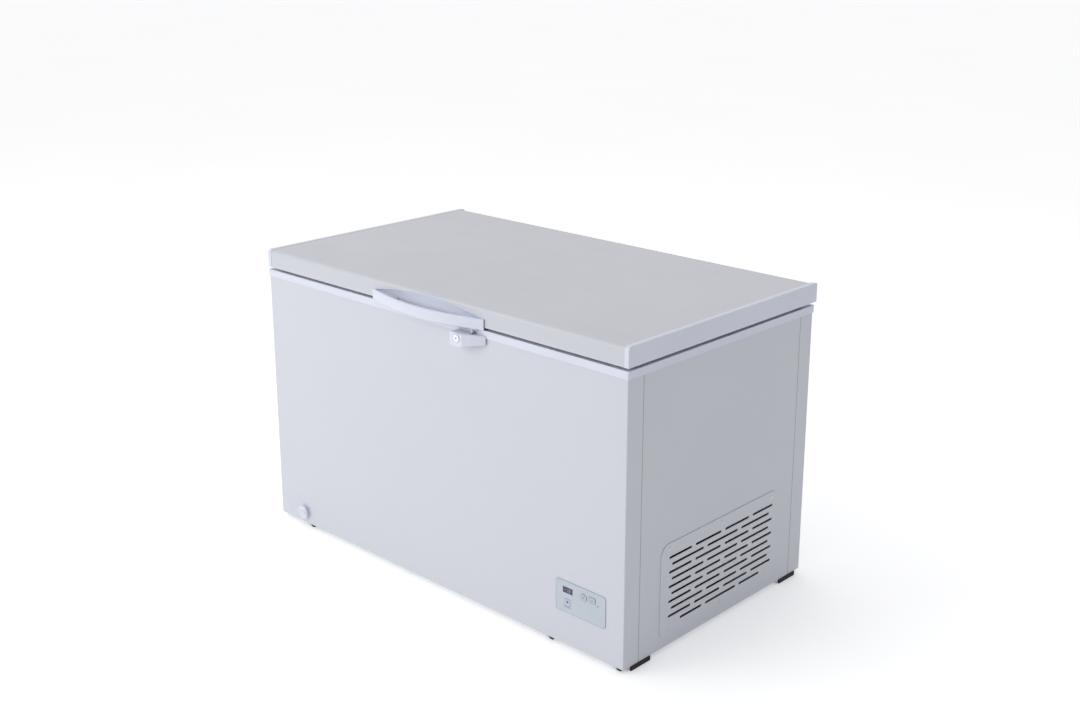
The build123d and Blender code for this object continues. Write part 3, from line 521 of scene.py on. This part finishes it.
def handle_bow():
    """The curved bar, with soft edges, that thins into the lid at its ends.

    Its right-hand end is stepped out a little from the lid's face."""
    sections = 72
    least_proud = 0.0006
    clear_of_lid = 0.0003
    middle_z = (GRIP_LOW + GRIP_TOP) / 2
    rings = []
    for k in range(sections + 1):
        x = GRIP_LEFT + (GRIP_RIGHT - GRIP_LEFT) * k / sections
        step = STEP_PROUD * max(0.0, min(1.0, (x - STEP_START) / (GRIP_RIGHT - STEP_START)))
        outer = LID_FRONT - max(bow_front(x), least_proud) - step
        inner = min(outer + GRIP_THICK, LID_FRONT - clear_of_lid)
        depth = inner - outer
        corner = min(GRIP_EDGE_R, depth * 0.45)
        middle_y = (outer + inner) / 2
        rings.append([Vector((x, middle_y + u, middle_z + v))
                      for u, v in rounded(depth, GRIP_TOP - GRIP_LOW, corner, 5)])
    bow = add_mesh("handle_bow", *skin(rings), "white_plastic", "lid")
    smooth_by_angle(bow, 50)
    return bow


def handle_scoop():
    """The hollow in the lid's face behind the bow: a lip, a curved wall and a floor."""
    columns, wall_steps = 96, 14
    lip = 0.0005
    face = LID_FRONT - 0.0002
    front = LID_FRONT - 0.0003
    wall_thickness = 0.0012
    rings = []
    for k in range(columns + 1):
        x = SCOOP_HALF * math.sin((-1 + 2 * k / columns) * math.pi / 2)
        rise = SCOOP_RISE * scoop_arch(x)
        top = GRIP_TOP + rise
        floor = max(SCOOP_FLOOR, GRIP_TOP - rise + 0.0010)
        deep = scoop_depth(x) + 0.0003
        ring = [Vector((x * 1.004, LID_FRONT + 0.0004, top + lip)),
                Vector((x * 1.003, LID_FRONT - 0.0001, top + lip * 0.6)),
                Vector((x * 1.001, face, top + lip * 0.1))]
        for j in range(wall_steps + 1):
            down = j / wall_steps
            hollow = math.sin(min(1.0, down * 1.35) * math.pi / 2) ** 0.75
            ring.append(Vector((x, face + deep * hollow, top + (floor - top) * down)))
        ring.append(Vector((x, LID_FRONT + deep * 0.5, floor - 0.0009)))
        ring.append(Vector((x, front, floor - 0.0012)))
        ring.append(Vector((x, front, SKIN_LOW.z + 0.0006)))
        rings.append(ring)
    wall = add_mesh("handle_scoop", *skin(rings, closed=False, caps=False), "white_plastic", "lid")
    thick = wall.modifiers.new("wall", "SOLIDIFY")
    thick.thickness = wall_thickness
    thick.offset = 0.0
    settle(wall)
    smooth_by_angle(wall, 50)


def handle_webs():
    """The shallow shelves that close the finger gap at each end of the bow."""
    pile = Pile()
    columns = 24
    nose_columns = 3
    bottom = GRIP_LOW + 0.0012
    face = LID_FRONT - 0.0003
    for side in (-1, 1):
        rings = []
        for k in range(columns + 1):
            share = k / columns
            x = GRIP_MIDDLE + side * (WEB_START + (WEB_END - WEB_START) * share)
            front = min(LID_FRONT - bow_front(x) + GRIP_THICK / 2, LID_FRONT - 0.0005)
            back = LID_FRONT + scoop_depth(x) * 0.9
            dip = 0.0012 + 0.0062 * (1 - share) ** 1.5
            nose = 0.0045 * max(0.0, 1 - k / nose_columns) ** 2
            top = GRIP_TOP - nose
            low = SCOOP_FLOOR + 0.0010 if back > LID_FRONT + 0.001 else bottom
            rings.append([Vector((x, front, bottom + nose)),
                          Vector((x, front, top - dip)),
                          Vector((x, (front + back) / 2, top - dip * 1.25)),
                          Vector((x, back, top - dip * 0.9)),
                          Vector((x, back, low)),
                          Vector((x, face, low)),
                          Vector((x, face, bottom + nose))])
        pile.add(*skin(rings))
    webs = pile.piece("handle_webs", "white_plastic", "lid")
    smooth_by_angle(webs, 50)


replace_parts(handle_bow(), "lid_handle")
handle_scoop()
handle_webs()

# ---------------------------------------------------------------- lock

BORE_R = 0.0094
CHANNEL_FIT = 0.0004
# The axis of the turned pieces on the front; heights below zero stand out towards the user
REARWARD = (0, 1, 0)


def lock_case():
    """A wedge-ended housing under the handle with the key barrel in its tall end."""
    knee_x = BARREL.x + 0.018
    end = Y_FRONT - 0.005
    back = Y_FRONT - 0.0026
    stations = ((LOCK_LOW.x, LOCK_LOW.y, LOCK_LOW.z),
                (BARREL.x - 0.003, LOCK_LOW.y, LOCK_LOW.z),
                (knee_x, LOCK_LOW.y, LOCK_LOW.z + 0.0035),
                (LOCK_HIGH.x, end, LOCK_LOW.z + 0.013))
    rings = []
    for x, y, low in stations:
        rings.append([Vector((x, y, low)), Vector((x, y, LOCK_HIGH.z)),
                      Vector((x, back, LOCK_HIGH.z)), Vector((x, back, low))])
    case = add_mesh("lock_case", *skin(rings), "white_plastic", "cabinet")
    soften(case, 0.0035, 4, 20)
    bore_start = (BARREL.x, LOCK_LOW.y - 0.002, BARREL.z)
    carve(case, turned("bore", ((BORE_R, 0.0), (BORE_R, 0.02)), bore_start, REARWARD,
                       "white_plastic", None))
    catch_slot = Pile()
    catch_slot.block((CATCH_X - 0.005, Y_FRONT - 0.016, 0.706),
                     (CATCH_X + 0.005, Y_FRONT - 0.0032, 0.740))
    carve(case, catch_slot.piece("catch_slot", "white_plastic", None))
    channel = Pile()
    channel.block((BOLT_LOW.x - 0.0005, BOLT_LOW.y - CHANNEL_FIT, BOLT_LOW.z - CHANNEL_FIT),
                  (CATCH_X + 0.014, BOLT_HIGH.y + CHANNEL_FIT, BOLT_HIGH.z + CHANNEL_FIT))
    carve(case, channel.piece("bolt_channel", "white_plastic", None))
    smooth_by_angle(case, 40)
    return case


def lock_collar():
    """The raised ring round the key barrel."""
    profile = ((BORE_R, 0.0006), (0.0097, -0.0007), (0.0106, -0.0012), (0.0114, -0.0008),
               (0.0118, 0.0004))
    turned("lock_collar", profile, (BARREL.x, LOCK_LOW.y, BARREL.z), REARWARD, "white_plastic",
           "cabinet")


def keyway_shade():
    """The keyway in the barrel, wider at its top, as a black plate that paints the shade inside it."""
    steps = 20
    outline = []
    for k in range(steps):
        a = 2 * math.pi * k / steps
        half = 0.00165 if math.sin(a) > 0 else 0.0011
        outline.append((BARREL.x + half * math.cos(a), BARREL.z + 0.0034 * math.sin(a)))
    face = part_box("lock_barrel")[0].y
    slot = Pile()
    slot.plate(outline, face - 0.00015, face + 0.0006)
    slot.piece("keyway_shade", "black_plastic", "lock_barrel", False)


def handle_end_shade():
    """A dark strip on the lid's face that paints the shade at the handle's right-hand end."""
    gap = Pile()
    gap.block((GRIP_RIGHT + 0.0002, LID_FRONT - 0.0009, GRIP_LOW + 0.0072),
              (GRIP_RIGHT + 0.0016, LID_FRONT + 0.0004, GRIP_TOP - 0.0008))
    gap.piece("handle_end_shade", "grey_rubber", "lid", False)


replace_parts(lock_case(), "lock_housing")
lock_collar()
# A black plate of painted shade in the keyway
keyway_shade()
# A dark strip of painted shade at the handle's right-hand end
handle_end_shade()

# ---------------------------------------------------------------- seal and lid liner


def lid_seal():
    """The lid's vinyl seal: a magnet tube over a pleated foot."""
    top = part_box("lid_gasket")[1].z
    low = top - 0.0074
    profile = ((0.0150, top), (0.0142, top - 0.0012), (0.0146, top - 0.0026),
               (0.0165, top - 0.0034), (0.0142, top - 0.0046), (0.0150, low), (0.0290, low),
               (0.0318, low + 0.0010), (0.0300, top - 0.0036), (0.0318, top - 0.0022),
               (0.0310, top))
    rings = [frame_ring(inset, 0.012 + 0.5 * (0.032 - inset), z, 8) for inset, z in profile]
    rings.append(rings[0])
    seal = add_mesh("lid_seal", *skin(rings, caps=False), "gasket_vinyl", "lid")
    smooth_by_angle(seal, 60)
    return seal


def liner_beads():
    """Two pressed beads that run round the moulded lid liner, and ribs across its middle."""
    pile = Pile()
    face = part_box("lid_liner")[0].z
    sunk = 0.0002
    bead = ((0.0, sunk), (0.0012, -0.0009), (0.0035, -0.0013), (0.0058, -0.0009), (0.0070, sunk))
    for inset in (0.100, 0.118):
        rings = [frame_ring(inset + across, 0.024, face + lift, 8) for across, lift in bead]
        rings.append(rings[0])
        pile.add(*skin(rings, caps=False))
    ribs, spacing = 5, 0.18
    section = ((-1, 0), (-0.6, 0.75), (0, 1), (0.6, 0.75), (1, 0))
    stations = ((-0.190, 0.0004, 0.0), (-0.185, 0.0055, 0.0010), (-0.170, 0.007, 0.0013),
                (0.194, 0.007, 0.0013), (0.209, 0.0055, 0.0010), (0.214, 0.0004, 0.0))
    for k in range(ribs):
        x = spacing * (k - (ribs - 1) / 2)
        rings = [[Vector((x + u * half, y, face + sunk - (drop + sunk) * d)) for u, d in section]
                 for y, half, drop in stations]
        pile.add(*skin(rings))
    pile.piece("liner_beads", "liner_plastic", "lid")


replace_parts(lid_seal(), "lid_gasket")
liner_beads()

# ---------------------------------------------------------------- basket

RIM_WIRE_R = 0.003
FLOOR_WIRE_R = 0.0025
HANGER_WIRE_R = 0.0027
LEVEL_WIRE_R = 0.0016
CROSS_WIRE_R = 0.0017
HANGER_REACH = 0.020
WALL_TAPER = 0.012
WALL_FRONT = BASKET_LOW.y + HANGER_REACH + RIM_WIRE_R
WALL_BACK = BASKET_HIGH.y - HANGER_REACH - RIM_WIRE_R
RIM_Z = BASKET_HIGH.z - RIM_WIRE_R


def spread(low, high, count):
    """Evenly spaced places from low to high."""
    return [low + (high - low) * k / (count - 1) for k in range(count)]


def basket_wires():
    """A coated-wire basket: rim, level wires, and uprights that run under the floor."""
    x0, x1 = BASKET_LOW.x + RIM_WIRE_R, BASKET_HIGH.x - RIM_WIRE_R
    floor_z = BASKET_LOW.z + 0.0035
    centre = Vector(((x0 + x1) / 2, (WALL_FRONT + WALL_BACK) / 2, 0))
    inset = WALL_TAPER + 0.020
    pile = Pile()

    def level(z, shrink, radius):
        outline = rounded(x1 - x0 - 2 * shrink, WALL_BACK - WALL_FRONT - 2 * shrink, 0.022, 6)
        loop = [centre + Vector((x, y, z)) for x, y in outline]
        rings = tube_rings(loop, radius, 10, closed=True)
        rings.append(rings[0])
        pile.add(*skin(rings, caps=False))

    level(RIM_Z, 0.0, RIM_WIRE_R)
    level(floor_z + 0.004, WALL_TAPER, FLOOR_WIRE_R)
    for share in (0.25, 0.5, 0.75):
        level(floor_z + (RIM_Z - floor_z) * share, WALL_TAPER * (1 - share) + 0.0035, LEVEL_WIRE_R)
    for y in spread(WALL_FRONT + inset, WALL_BACK - inset, 18):
        run = [Vector((x0 + 0.001, y, RIM_Z)), Vector((x0 + WALL_TAPER, y, floor_z)),
               Vector((x1 - WALL_TAPER, y, floor_z)), Vector((x1 - 0.001, y, RIM_Z))]
        pile.tube(bend(run, 0.012), CROSS_WIRE_R, 8)
    over_floor = floor_z + 0.003
    for x in spread(x0 + inset, x1 - inset, 7):
        run = [Vector((x, WALL_FRONT + 0.001, RIM_Z)), Vector((x, WALL_FRONT + WALL_TAPER, over_floor)),
               Vector((x, WALL_BACK - WALL_TAPER, over_floor)), Vector((x, WALL_BACK - 0.001, RIM_Z))]
        pile.tube(bend(run, 0.012), CROSS_WIRE_R, 8)
    return pile.piece("basket_wires", "basket_wire", "basket")


def basket_hangers():
    """Folded wire hangers that rest on the ledges of the rim."""
    x0, x1 = BASKET_LOW.x + 0.014, BASKET_HIGH.x - 0.014
    z = RIM_Z + 0.0001
    from_wall, from_end = HANGER_REACH + 0.001, 0.0015
    pile = Pile()
    for wall, rest in ((BASKET_LOW.y + from_wall, BASKET_LOW.y + from_end),
                       (BASKET_HIGH.y - from_wall, BASKET_HIGH.y - from_end)):
        run = [Vector((x0, wall, z)), Vector((x0, rest, z)), Vector((x1, rest, z)),
               Vector((x1, wall, z))]
        pile.tube(bend(run, 0.008), HANGER_WIRE_R, 10)
    pile.piece("basket_hangers", "basket_wire", "basket")


def basket_grips():
    """A moulded sleeve round the middle of the rim at each hanger."""
    flatness = 0.68
    stations = ((-0.045, 0.0034), (-0.043, 0.0042), (-0.02, 0.0044), (0.0, 0.0044),
                (0.02, 0.0044), (0.043, 0.0042), (0.045, 0.0034))
    middle_x = (BASKET_LOW.x + BASKET_HIGH.x) / 2
    pile = Pile()
    for y in (WALL_FRONT, WALL_BACK):
        rings = [[Vector((middle_x + x, y + u, RIM_Z + v * flatness))
                  for u, v in rounded(2 * r, 2 * r, r * 0.7, 3)] for x, r in stations]
        pile.add(*skin(rings))
    pile.piece("basket_grips", "basket_wire", "basket")


wires = basket_wires()
basket_hangers()
basket_grips()
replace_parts(wires, "basket")

# ---------------------------------------------------------------- control panel

PANEL_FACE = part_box("control_fascia")[0].y
GLASS_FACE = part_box("display_windows")[0].y
BUTTON_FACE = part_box("set_button")[0].y
DISPLAY_X, DISPLAY_Z = middle("display_windows").x, 0.1568
ICON_X, ICON_Z = DISPLAY_X - 0.0005, 0.125
PRINT_THICK = 0.0001

LIT_BLUE = glow("lit_blue", (0.13, 0.15, 0.38), (0.2, 0.22, 1.0), 0.05, 900.0)
LIT_VIOLET = glow("lit_violet", (0.18, 0.16, 0.50), (0.40, 0.36, 1.0), 0.36, 900.0)
LIT_PALE = glow("lit_pale", (0.50, 0.54, 0.66), (0.6, 0.66, 1.0), 0.02, 700.0)
PRINT_GREY = moulding("print_grey", (0.25, 0.27, 0.31), (0.4, 0.5), 0.05)


def bar(x0, z0, x1, z1, half):
    """A six-sided segment between two points in the panel's plane, as pairs."""
    a = Vector((x0, z0))
    b = Vector((x1, z1))
    along = (b - a).normalized() * half
    across = Vector((-along.y, along.x))
    points = (a, a + along + across, b - along + across, b, b - along - across,
              a + along - across)
    return [(p.x, p.y) for p in points]


def circle(x, z, r, steps=40):
    """A round outline, as pairs."""
    angles = [2 * math.pi * k / steps for k in range(steps)]
    return [(x + r * math.cos(a), z + r * math.sin(a)) for a in angles]


def display_digits():
    """Seven-segment figures: a minus sign, a one and an eight."""
    pile = Pile()
    w, h, half, gap = 0.0042, 0.0042, 0.00055, 0.0003
    ends = {"a": (-w / 2, h, w / 2, h), "g": (-w / 2, 0, w / 2, 0), "d": (-w / 2, -h, w / 2, -h),
            "f": (-w / 2, 0, -w / 2, h), "b": (w / 2, 0, w / 2, h),
            "e": (-w / 2, -h, -w / 2, 0), "c": (w / 2, -h, w / 2, 0)}
    for segments, offset in (("g", -0.0085), ("bc", -0.0022), ("abcdefg", 0.0060)):
        for segment in segments:
            x0, z0, x1, z1 = ends[segment]
            gap_x = gap if x0 != x1 else 0
            gap_z = gap if z0 != z1 else 0
            outline = bar(DISPLAY_X + offset + x0 + gap_x, DISPLAY_Z + z0 + gap_z,
                          DISPLAY_X + offset + x1 - gap_x, DISPLAY_Z + z1 - gap_z, half)
            pile.plate(outline, GLASS_FACE - 0.00025, GLASS_FACE + PRINT_THICK)
    pile.piece("display_digits", "display_glass", "cabinet", False, LIT_VIOLET)


def icon_square():
    """The lit square: a pale plate with a round dot on it."""
    side = 0.0165
    plate = Pile()
    plate.plate([(ICON_X + x, ICON_Z + z) for x, z in rounded(side, side, 0.0015, 4)],
                GLASS_FACE - 0.00018, GLASS_FACE + PRINT_THICK)
    plate.piece("icon_plate", "display_glass", "cabinet", False, LIT_PALE)
    marks = Pile()
    marks.plate(circle(ICON_X, ICON_Z + 0.0012, 0.0036, 24), GLASS_FACE - 0.0004, GLASS_FACE)
    marks.piece("icon_marks", "display_glass", "cabinet", False, LIT_BLUE)


def panel_print():
    """Thin printed lines: a border, a rule under the square and a surround for each button."""
    pile = Pile()
    y0, y1 = PANEL_FACE - 0.00022, PANEL_FACE + PRINT_THICK

    def ring_of(outer, inner):
        rings = [[Vector((x, y, z)) for x, z in outline]
                 for outline, y in ((outer, y1), (outer, y0), (inner, y0), (inner, y1))]
        rings.append(rings[0])
        pile.add(*skin(rings, caps=False))

    def border(centre, w, h, r, line):
        outlines = [[(centre.x + u, centre.z + v) for u, v in rounded(w - trim, h - trim, corner, 6)]
                    for trim, corner in ((0, r), (2 * line, r - line))]
        ring_of(*outlines)

    rule_z = ICON_Z - 0.0125
    border(PANEL, 0.1575, 0.0815, 0.0078, 0.0006)
    pile.plate(bar(ICON_X - 0.0130, rule_z, ICON_X + 0.0115, rule_z, 0.0010), y0, y1)
    border(POWER_BUTTON, 0.0228, 0.0178, 0.005, 0.0006)
    ring_of(circle(SET_BUTTON.x, SET_BUTTON.z, 0.0104), circle(SET_BUTTON.x, SET_BUTTON.z, 0.0098))
    pile.piece("panel_print", "panel_film", "cabinet", False, PRINT_GREY)


def set_mark():
    """A six-pointed star on the round button."""
    reach, half = 0.0036, 0.0004
    star = Pile()
    for k in range(3):
        a = math.radians(90 + 60 * k)
        dx, dz = reach * math.cos(a), reach * math.sin(a)
        star.plate(bar(SET_BUTTON.x - dx, SET_BUTTON.z - dz, SET_BUTTON.x + dx, SET_BUTTON.z + dz,
                       half), BUTTON_FACE - 0.0002, BUTTON_FACE)
    star.piece("set_mark", "button_plastic", "set_button", False, PRINT_GREY)


def power_mark():
    """A broken ring with an upright bar on the oblong button."""
    radius, half, steps = 0.0030, 0.0004, 20
    x, z = POWER_BUTTON.x, POWER_BUTTON.z - 0.0005
    mark = Pile()
    angles = [math.radians(40 + 280 * k / steps) for k in range(steps + 1)]
    arc = [Vector((x + radius * math.sin(a), BUTTON_FACE - 0.0001, z + radius * math.cos(a)))
           for a in angles]
    mark.tube(arc, half, 6)
    mark.plate(bar(x, z + 0.0012, x, z + 0.0040, half), BUTTON_FACE - 0.0003, BUTTON_FACE)
    mark.piece("power_mark", "button_plastic", "power_button", False, PRINT_GREY)


display_digits()
icon_square()
panel_print()
set_mark()
power_mark()

# ---------------------------------------------------------------- drain knob


def knob_cap():
    """The round knob, dished at its face."""
    profile = ((0.0, -0.0098), (0.010, -0.0101), (0.0140, -0.0106), (0.0162, -0.0110),
               (0.0182, -0.0106), (0.0196, -0.0090), (0.0200, -0.0070), (0.0198, -0.0034),
               (0.0190, -0.0025), (0.0, -0.0025))
    return turned("knob_cap", profile, (KNOB.x, Y_FRONT, KNOB.z), REARWARD, "white_plastic",
                  "drain_knob", 64)


def knob_grip():
    """The low bar across the knob's face."""
    root, ease = -0.0094, 0.0012
    half_bar = ((0.0150, 0.0014, -0.0098), (0.0142, 0.0026, -0.0118), (0.008, 0.0033, -0.0120))
    stations = [(-x, half, y) for x, half, y in half_bar]
    stations += [(0.0, 0.0036, -0.0120), *half_bar[::-1]]
    rings = []
    for x, half, y in stations:
        section = ((-half - ease, root), (-half, y + 0.0006), (-half + 0.0008, y),
                   (half - 0.0008, y), (half, y + 0.0006), (half + ease, root))
        rings.append([Vector((KNOB.x + x, Y_FRONT + v, KNOB.z + u)) for u, v in section])
    grip = Pile()
    grip.add(*skin(rings))
    grip.piece("knob_grip", "white_plastic", "drain_knob")


def drain_ring():
    """The stepped ring on the front panel behind the knob."""
    profile = ((0.0092, 0.0), (0.0092, -0.0013), (0.0200, -0.0016), (0.0222, -0.0013),
               (0.0232, -0.0006), (0.0236, 0.0))
    turned("drain_ring", profile, (KNOB.x, Y_FRONT, KNOB.z), REARWARD, "white_plastic",
           "cabinet", 64)


cap = knob_cap()
knob_grip()
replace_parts(cap, "drain_knob")
drain_ring()

# ---------------------------------------------------------------- feet

FOOT_COLUMNS = ((-0.5195, 0.037), (0.416, 0.028), (0.636, 0.036))
FOOT_ROWS = (Y_FRONT + 0.0615, Y_FRONT + 0.671)
LIP_WIDTH = 0.009


def foot_blocks():
    """Moulded rubber pads with eased edges and a grooved tread, a toe and an outer skirt."""
    pile = Pile()
    tread = ((0.0, 0.0016), (0.0012, 0.0004), (0.0028, 0.0), (0.0032, 0.0011), (0.0040, 0.0011),
             (0.0044, 0.0), (0.0088, 0.0), (0.0099, 0.0010))
    for x, width in FOOT_COLUMNS:
        for y in FOOT_ROWS:
            half = width / 2 - 0.001
            front, rear = y - 0.036, y + 0.0375
            rings = []
            for z, ease in tread:
                outline = rounded(2 * (half - ease), rear - front - 2 * ease, 0.004, 5)
                rings.append([Vector((x + u, (front + rear) / 2 + v, z)) for u, v in outline])
            pile.add(*skin(rings))
        toe = x - width / 2 + LIP_WIDTH + 0.001
        pile.block((toe, Y_FRONT + 0.0085, 0.0), (toe + 0.011, Y_FRONT + 0.027, 0.0082))
    outer_x, outer_width = FOOT_COLUMNS[-1]
    edge = outer_x + outer_width / 2
    for y in FOOT_ROWS:
        for start, low, high in ((edge - 0.0015, 0.0, 0.0095), (edge + 0.0003, 0.0090, 0.0118)):
            pile.block((start, y - 0.034, low), (edge + 0.0028, y + 0.0365, high))
    pads = pile.piece("foot_blocks", "black_rubber", "cabinet")
    smooth_by_angle(pads, 50)
    return pads


def foot_lips():
    """The turned-down steel lip at the front of each leading foot."""
    pile = Pile()
    for x, width in FOOT_COLUMNS:
        left = x - width / 2
        pile.block((left, Y_FRONT + 0.0060, 0.0035), (left + LIP_WIDTH, Y_FRONT + 0.0200, 0.0118))
    pile.piece("foot_lips", "galvanised_steel", "cabinet", False)


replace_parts(foot_blocks(), "foot_pads")
foot_lips()

# ---------------------------------------------------------------- grille screws

GRILLE_FACE = X_SIDE + 0.0016
GRILLE_SCREWS = ((0.165, 0.266), (0.374, 0.266), (0.581, 0.266),
                 (0.164, 0.047), (0.370, 0.047), (0.575, 0.047))


def cross_head(pile, centre, radius, height):
    """A pan head with a cross recess, standing on the right-hand side."""
    steps = 24
    recess = (0.55, 0.5, 0.17, 0.17, 0.17, 0.5)
    out = Vector((1, 0, 0))
    side = out.orthogonal().normalized()
    across = out.cross(side)

    def ring(lift, reaches):
        points = []
        for k, reach in enumerate(reaches):
            a = 2 * math.pi * k / steps
            spoke = side * math.cos(a) + across * math.sin(a)
            points.append(Vector(centre) + out * height * lift + spoke * radius * reach)
        return points

    dome = ((1.0, 0.0), (1.0, 0.35), (0.93, 0.7), (0.78, 0.92), (0.62, 1.0))
    rings = [ring(lift, [share] * steps) for share, lift in dome]
    rings += [ring(lift, [recess[k % 6] for k in range(steps)]) for lift in (1.0, 0.45)]
    pile.add(*skin(rings))


def grille_heads():
    """The heads of the six screws that hold the grille."""
    pile = Pile()
    for y, z in GRILLE_SCREWS:
        cross_head(pile, (GRILLE_FACE, Y_FRONT + y, z), 0.0048, 0.0013)
    heads = pile.piece("grille_heads", "zinc_hardware", "cabinet")
    smooth_by_angle(heads, 40)
    return heads


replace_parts(grille_heads(), "grille_screws")

# ---------------------------------------------------------------- seams, with their shade painted as dark strips

LID_EDGE_R = 0.011
SEAM_SHADE_PROUD = 0.00012


def lid_seam_shade():
    """A dark hairline strip that paints the shade in the seam between the lid's sheet and each end cap.
    """
    rear, low, top = SKIN_HIGH.y, SKIN_LOW.z + 0.0005, SKIN_HIGH.z
    half, sunk, chamfer, steps = 0.0005, -0.0004, 0.004, 8
    outline = [(LID_FRONT, low), (LID_FRONT, top - LID_EDGE_R)]
    for k in range(1, steps + 1):
        a = math.pi / 2 * k / steps
        outline.append((LID_FRONT + LID_EDGE_R * (1 - math.cos(a)),
                        top - LID_EDGE_R * (1 - math.sin(a))))
    outline += [(rear - chamfer, top), (rear, top - chamfer), (rear, low)]
    middle_y, middle_z = (LID_FRONT + rear) / 2, 0.74
    pile = Pile()
    for x in (SKIN_LOW.x, SKIN_HIGH.x):
        rings = []
        for out, dx in ((SEAM_SHADE_PROUD, -half), (SEAM_SHADE_PROUD, half), (sunk, half), (sunk, -half)):
            ring = []
            for y, z in outline:
                away = Vector((y - middle_y, z - middle_z)).normalized()
                ring.append(Vector((x + dx, y + away.x * out, z + out)))
            rings.append(ring)
        rings.append(rings[0])
        pile.add(*skin(rings, closed=False, caps=False))
    pile.piece("lid_seam_shade", "grey_rubber", "lid")


def panel_seam_shade():
    """Dark hairline strips that paint the shade in the seams where the wrapped front and rear sheets
    meet the side panels.
    """
    wrap, half = 0.0543, 0.00055
    pile = Pile()
    for side in (-1, 1):
        for y in (Y_FRONT + wrap, Y_REAR - wrap):
            x0, x1 = sorted((side * (X_SIDE - 0.0007), side * (X_SIDE + SEAM_SHADE_PROUD)))
            pile.block((x0, y - half, 0.0125), (x1, y + half, 0.7288))
    pile.piece("panel_seam_shade", "grey_rubber", "cabinet", False)


# Dark strips of painted shade along the lid's and the cabinet's seams
lid_seam_shade()
panel_seam_shade()

# ---------------------------------------------------------------- finishes on the CAD nodes

for part in frame["record"]["subparts"]:
    for material_slot in NODES[part["node"]].material_slots:
        material_slot.material = FINISH[part["material_slot"]]

# ---------------------------------------------------------------- floor, light and camera


def studio_floor():
    """A white floor that runs to the horizon."""
    half = 40.0
    mesh = bpy.data.meshes.new("studio_floor")
    corners = [(-half, -half, 0), (half, -half, 0), (half, half, 0), (-half, half, 0)]
    mesh.from_pydata(corners, [], [(0, 1, 2, 3)])
    p = Paint("studio_floor")
    p.colour(p.ramp(p.noise(0.8, 2.0, 0.5), (0.3, (0.93, 0.93, 0.935)), (0.7, (0.95, 0.95, 0.953))))
    p.rough(p.noise(3.0, 2.0, 0.5), 0.7, 0.85)
    p.set(Specular_IOR_Level=0.2, Emission_Color=(1, 1, 1, 1), Emission_Strength=0.30)
    floor = bpy.data.objects.new("studio_floor", mesh)
    bpy.context.scene.collection.objects.link(floor)
    mesh.materials.append(p.material)


def softbox(name, spot, target, size, power, colour):
    """An oblong lamp that faces its target."""
    data = bpy.data.lights.new(name, "AREA")
    data.shape = "RECTANGLE"
    data.size, data.size_y = size
    data.energy = power
    data.color = colour
    lamp = bpy.data.objects.new(name, data)
    bpy.context.scene.collection.objects.link(lamp)
    lamp.location = spot
    lamp.rotation_euler = (Vector(target) - Vector(spot)).to_track_quat("-Z", "Y").to_euler()


def studio_sky():
    """An even white surround that falls off towards the right-hand side."""
    world = bpy.data.worlds.new("studio")
    bpy.context.scene.world = world
    world.use_nodes = True
    tree = world.node_tree
    coords = tree.nodes.new("ShaderNodeTexCoord")
    split = tree.nodes.new("ShaderNodeSeparateXYZ")
    fall = tree.nodes.new("ShaderNodeValToRGB")
    tree.links.new(coords.outputs["Generated"], split.inputs["Vector"])
    tree.links.new(split.outputs["X"], fall.inputs["Fac"])
    tree.links.new(fall.outputs["Color"], tree.nodes["Background"].inputs["Color"])
    bright, dim = fall.color_ramp.elements
    bright.position, bright.color = 0.05, (1.0, 1.0, 1.0, 1)
    dim.position, dim.color = 0.75, (0.24, 0.25, 0.285, 1)
    tree.nodes["Background"].inputs["Strength"].default_value = 0.86


CAMERA_SPOT = (2.535, -2.625, 1.742)
CAMERA_YAW = math.radians(43.43)
CAMERA_PITCH = math.radians(15.93)


def camera():
    """The camera in front of the right-hand corner, looking down at the lid."""
    data = bpy.data.cameras.new("camera")
    data.sensor_width = 36.0
    data.lens = 47.18
    data.shift_x = 0.0007
    data.shift_y = -0.05
    data.clip_start = 0.05
    data.clip_end = 60.0
    seat = bpy.data.objects.new("camera", data)
    bpy.context.scene.collection.objects.link(seat)
    seat.location = CAMERA_SPOT
    level = math.cos(CAMERA_PITCH)
    aim = Vector((-math.sin(CAMERA_YAW) * level, math.cos(CAMERA_YAW) * level,
                  -math.sin(CAMERA_PITCH)))
    seat.rotation_euler = aim.to_track_quat("-Z", "Y").to_euler()
    bpy.context.scene.camera = seat


studio_floor()
studio_sky()
softbox("key_front", (-2.3, -3.9, 2.4), (0.0, -0.3, 0.4), (3.2, 2.6), 64, (0.98, 0.99, 1.0))
softbox("overhead", (0.0, 0.4, 4.6), (0.0, 0.0, 0.4), (4.2, 4.2), 26, (1.0, 1.0, 0.99))
camera()

bpy.context.scene.view_settings.view_transform = "Standard"
bpy.context.scene.view_settings.look = "None"
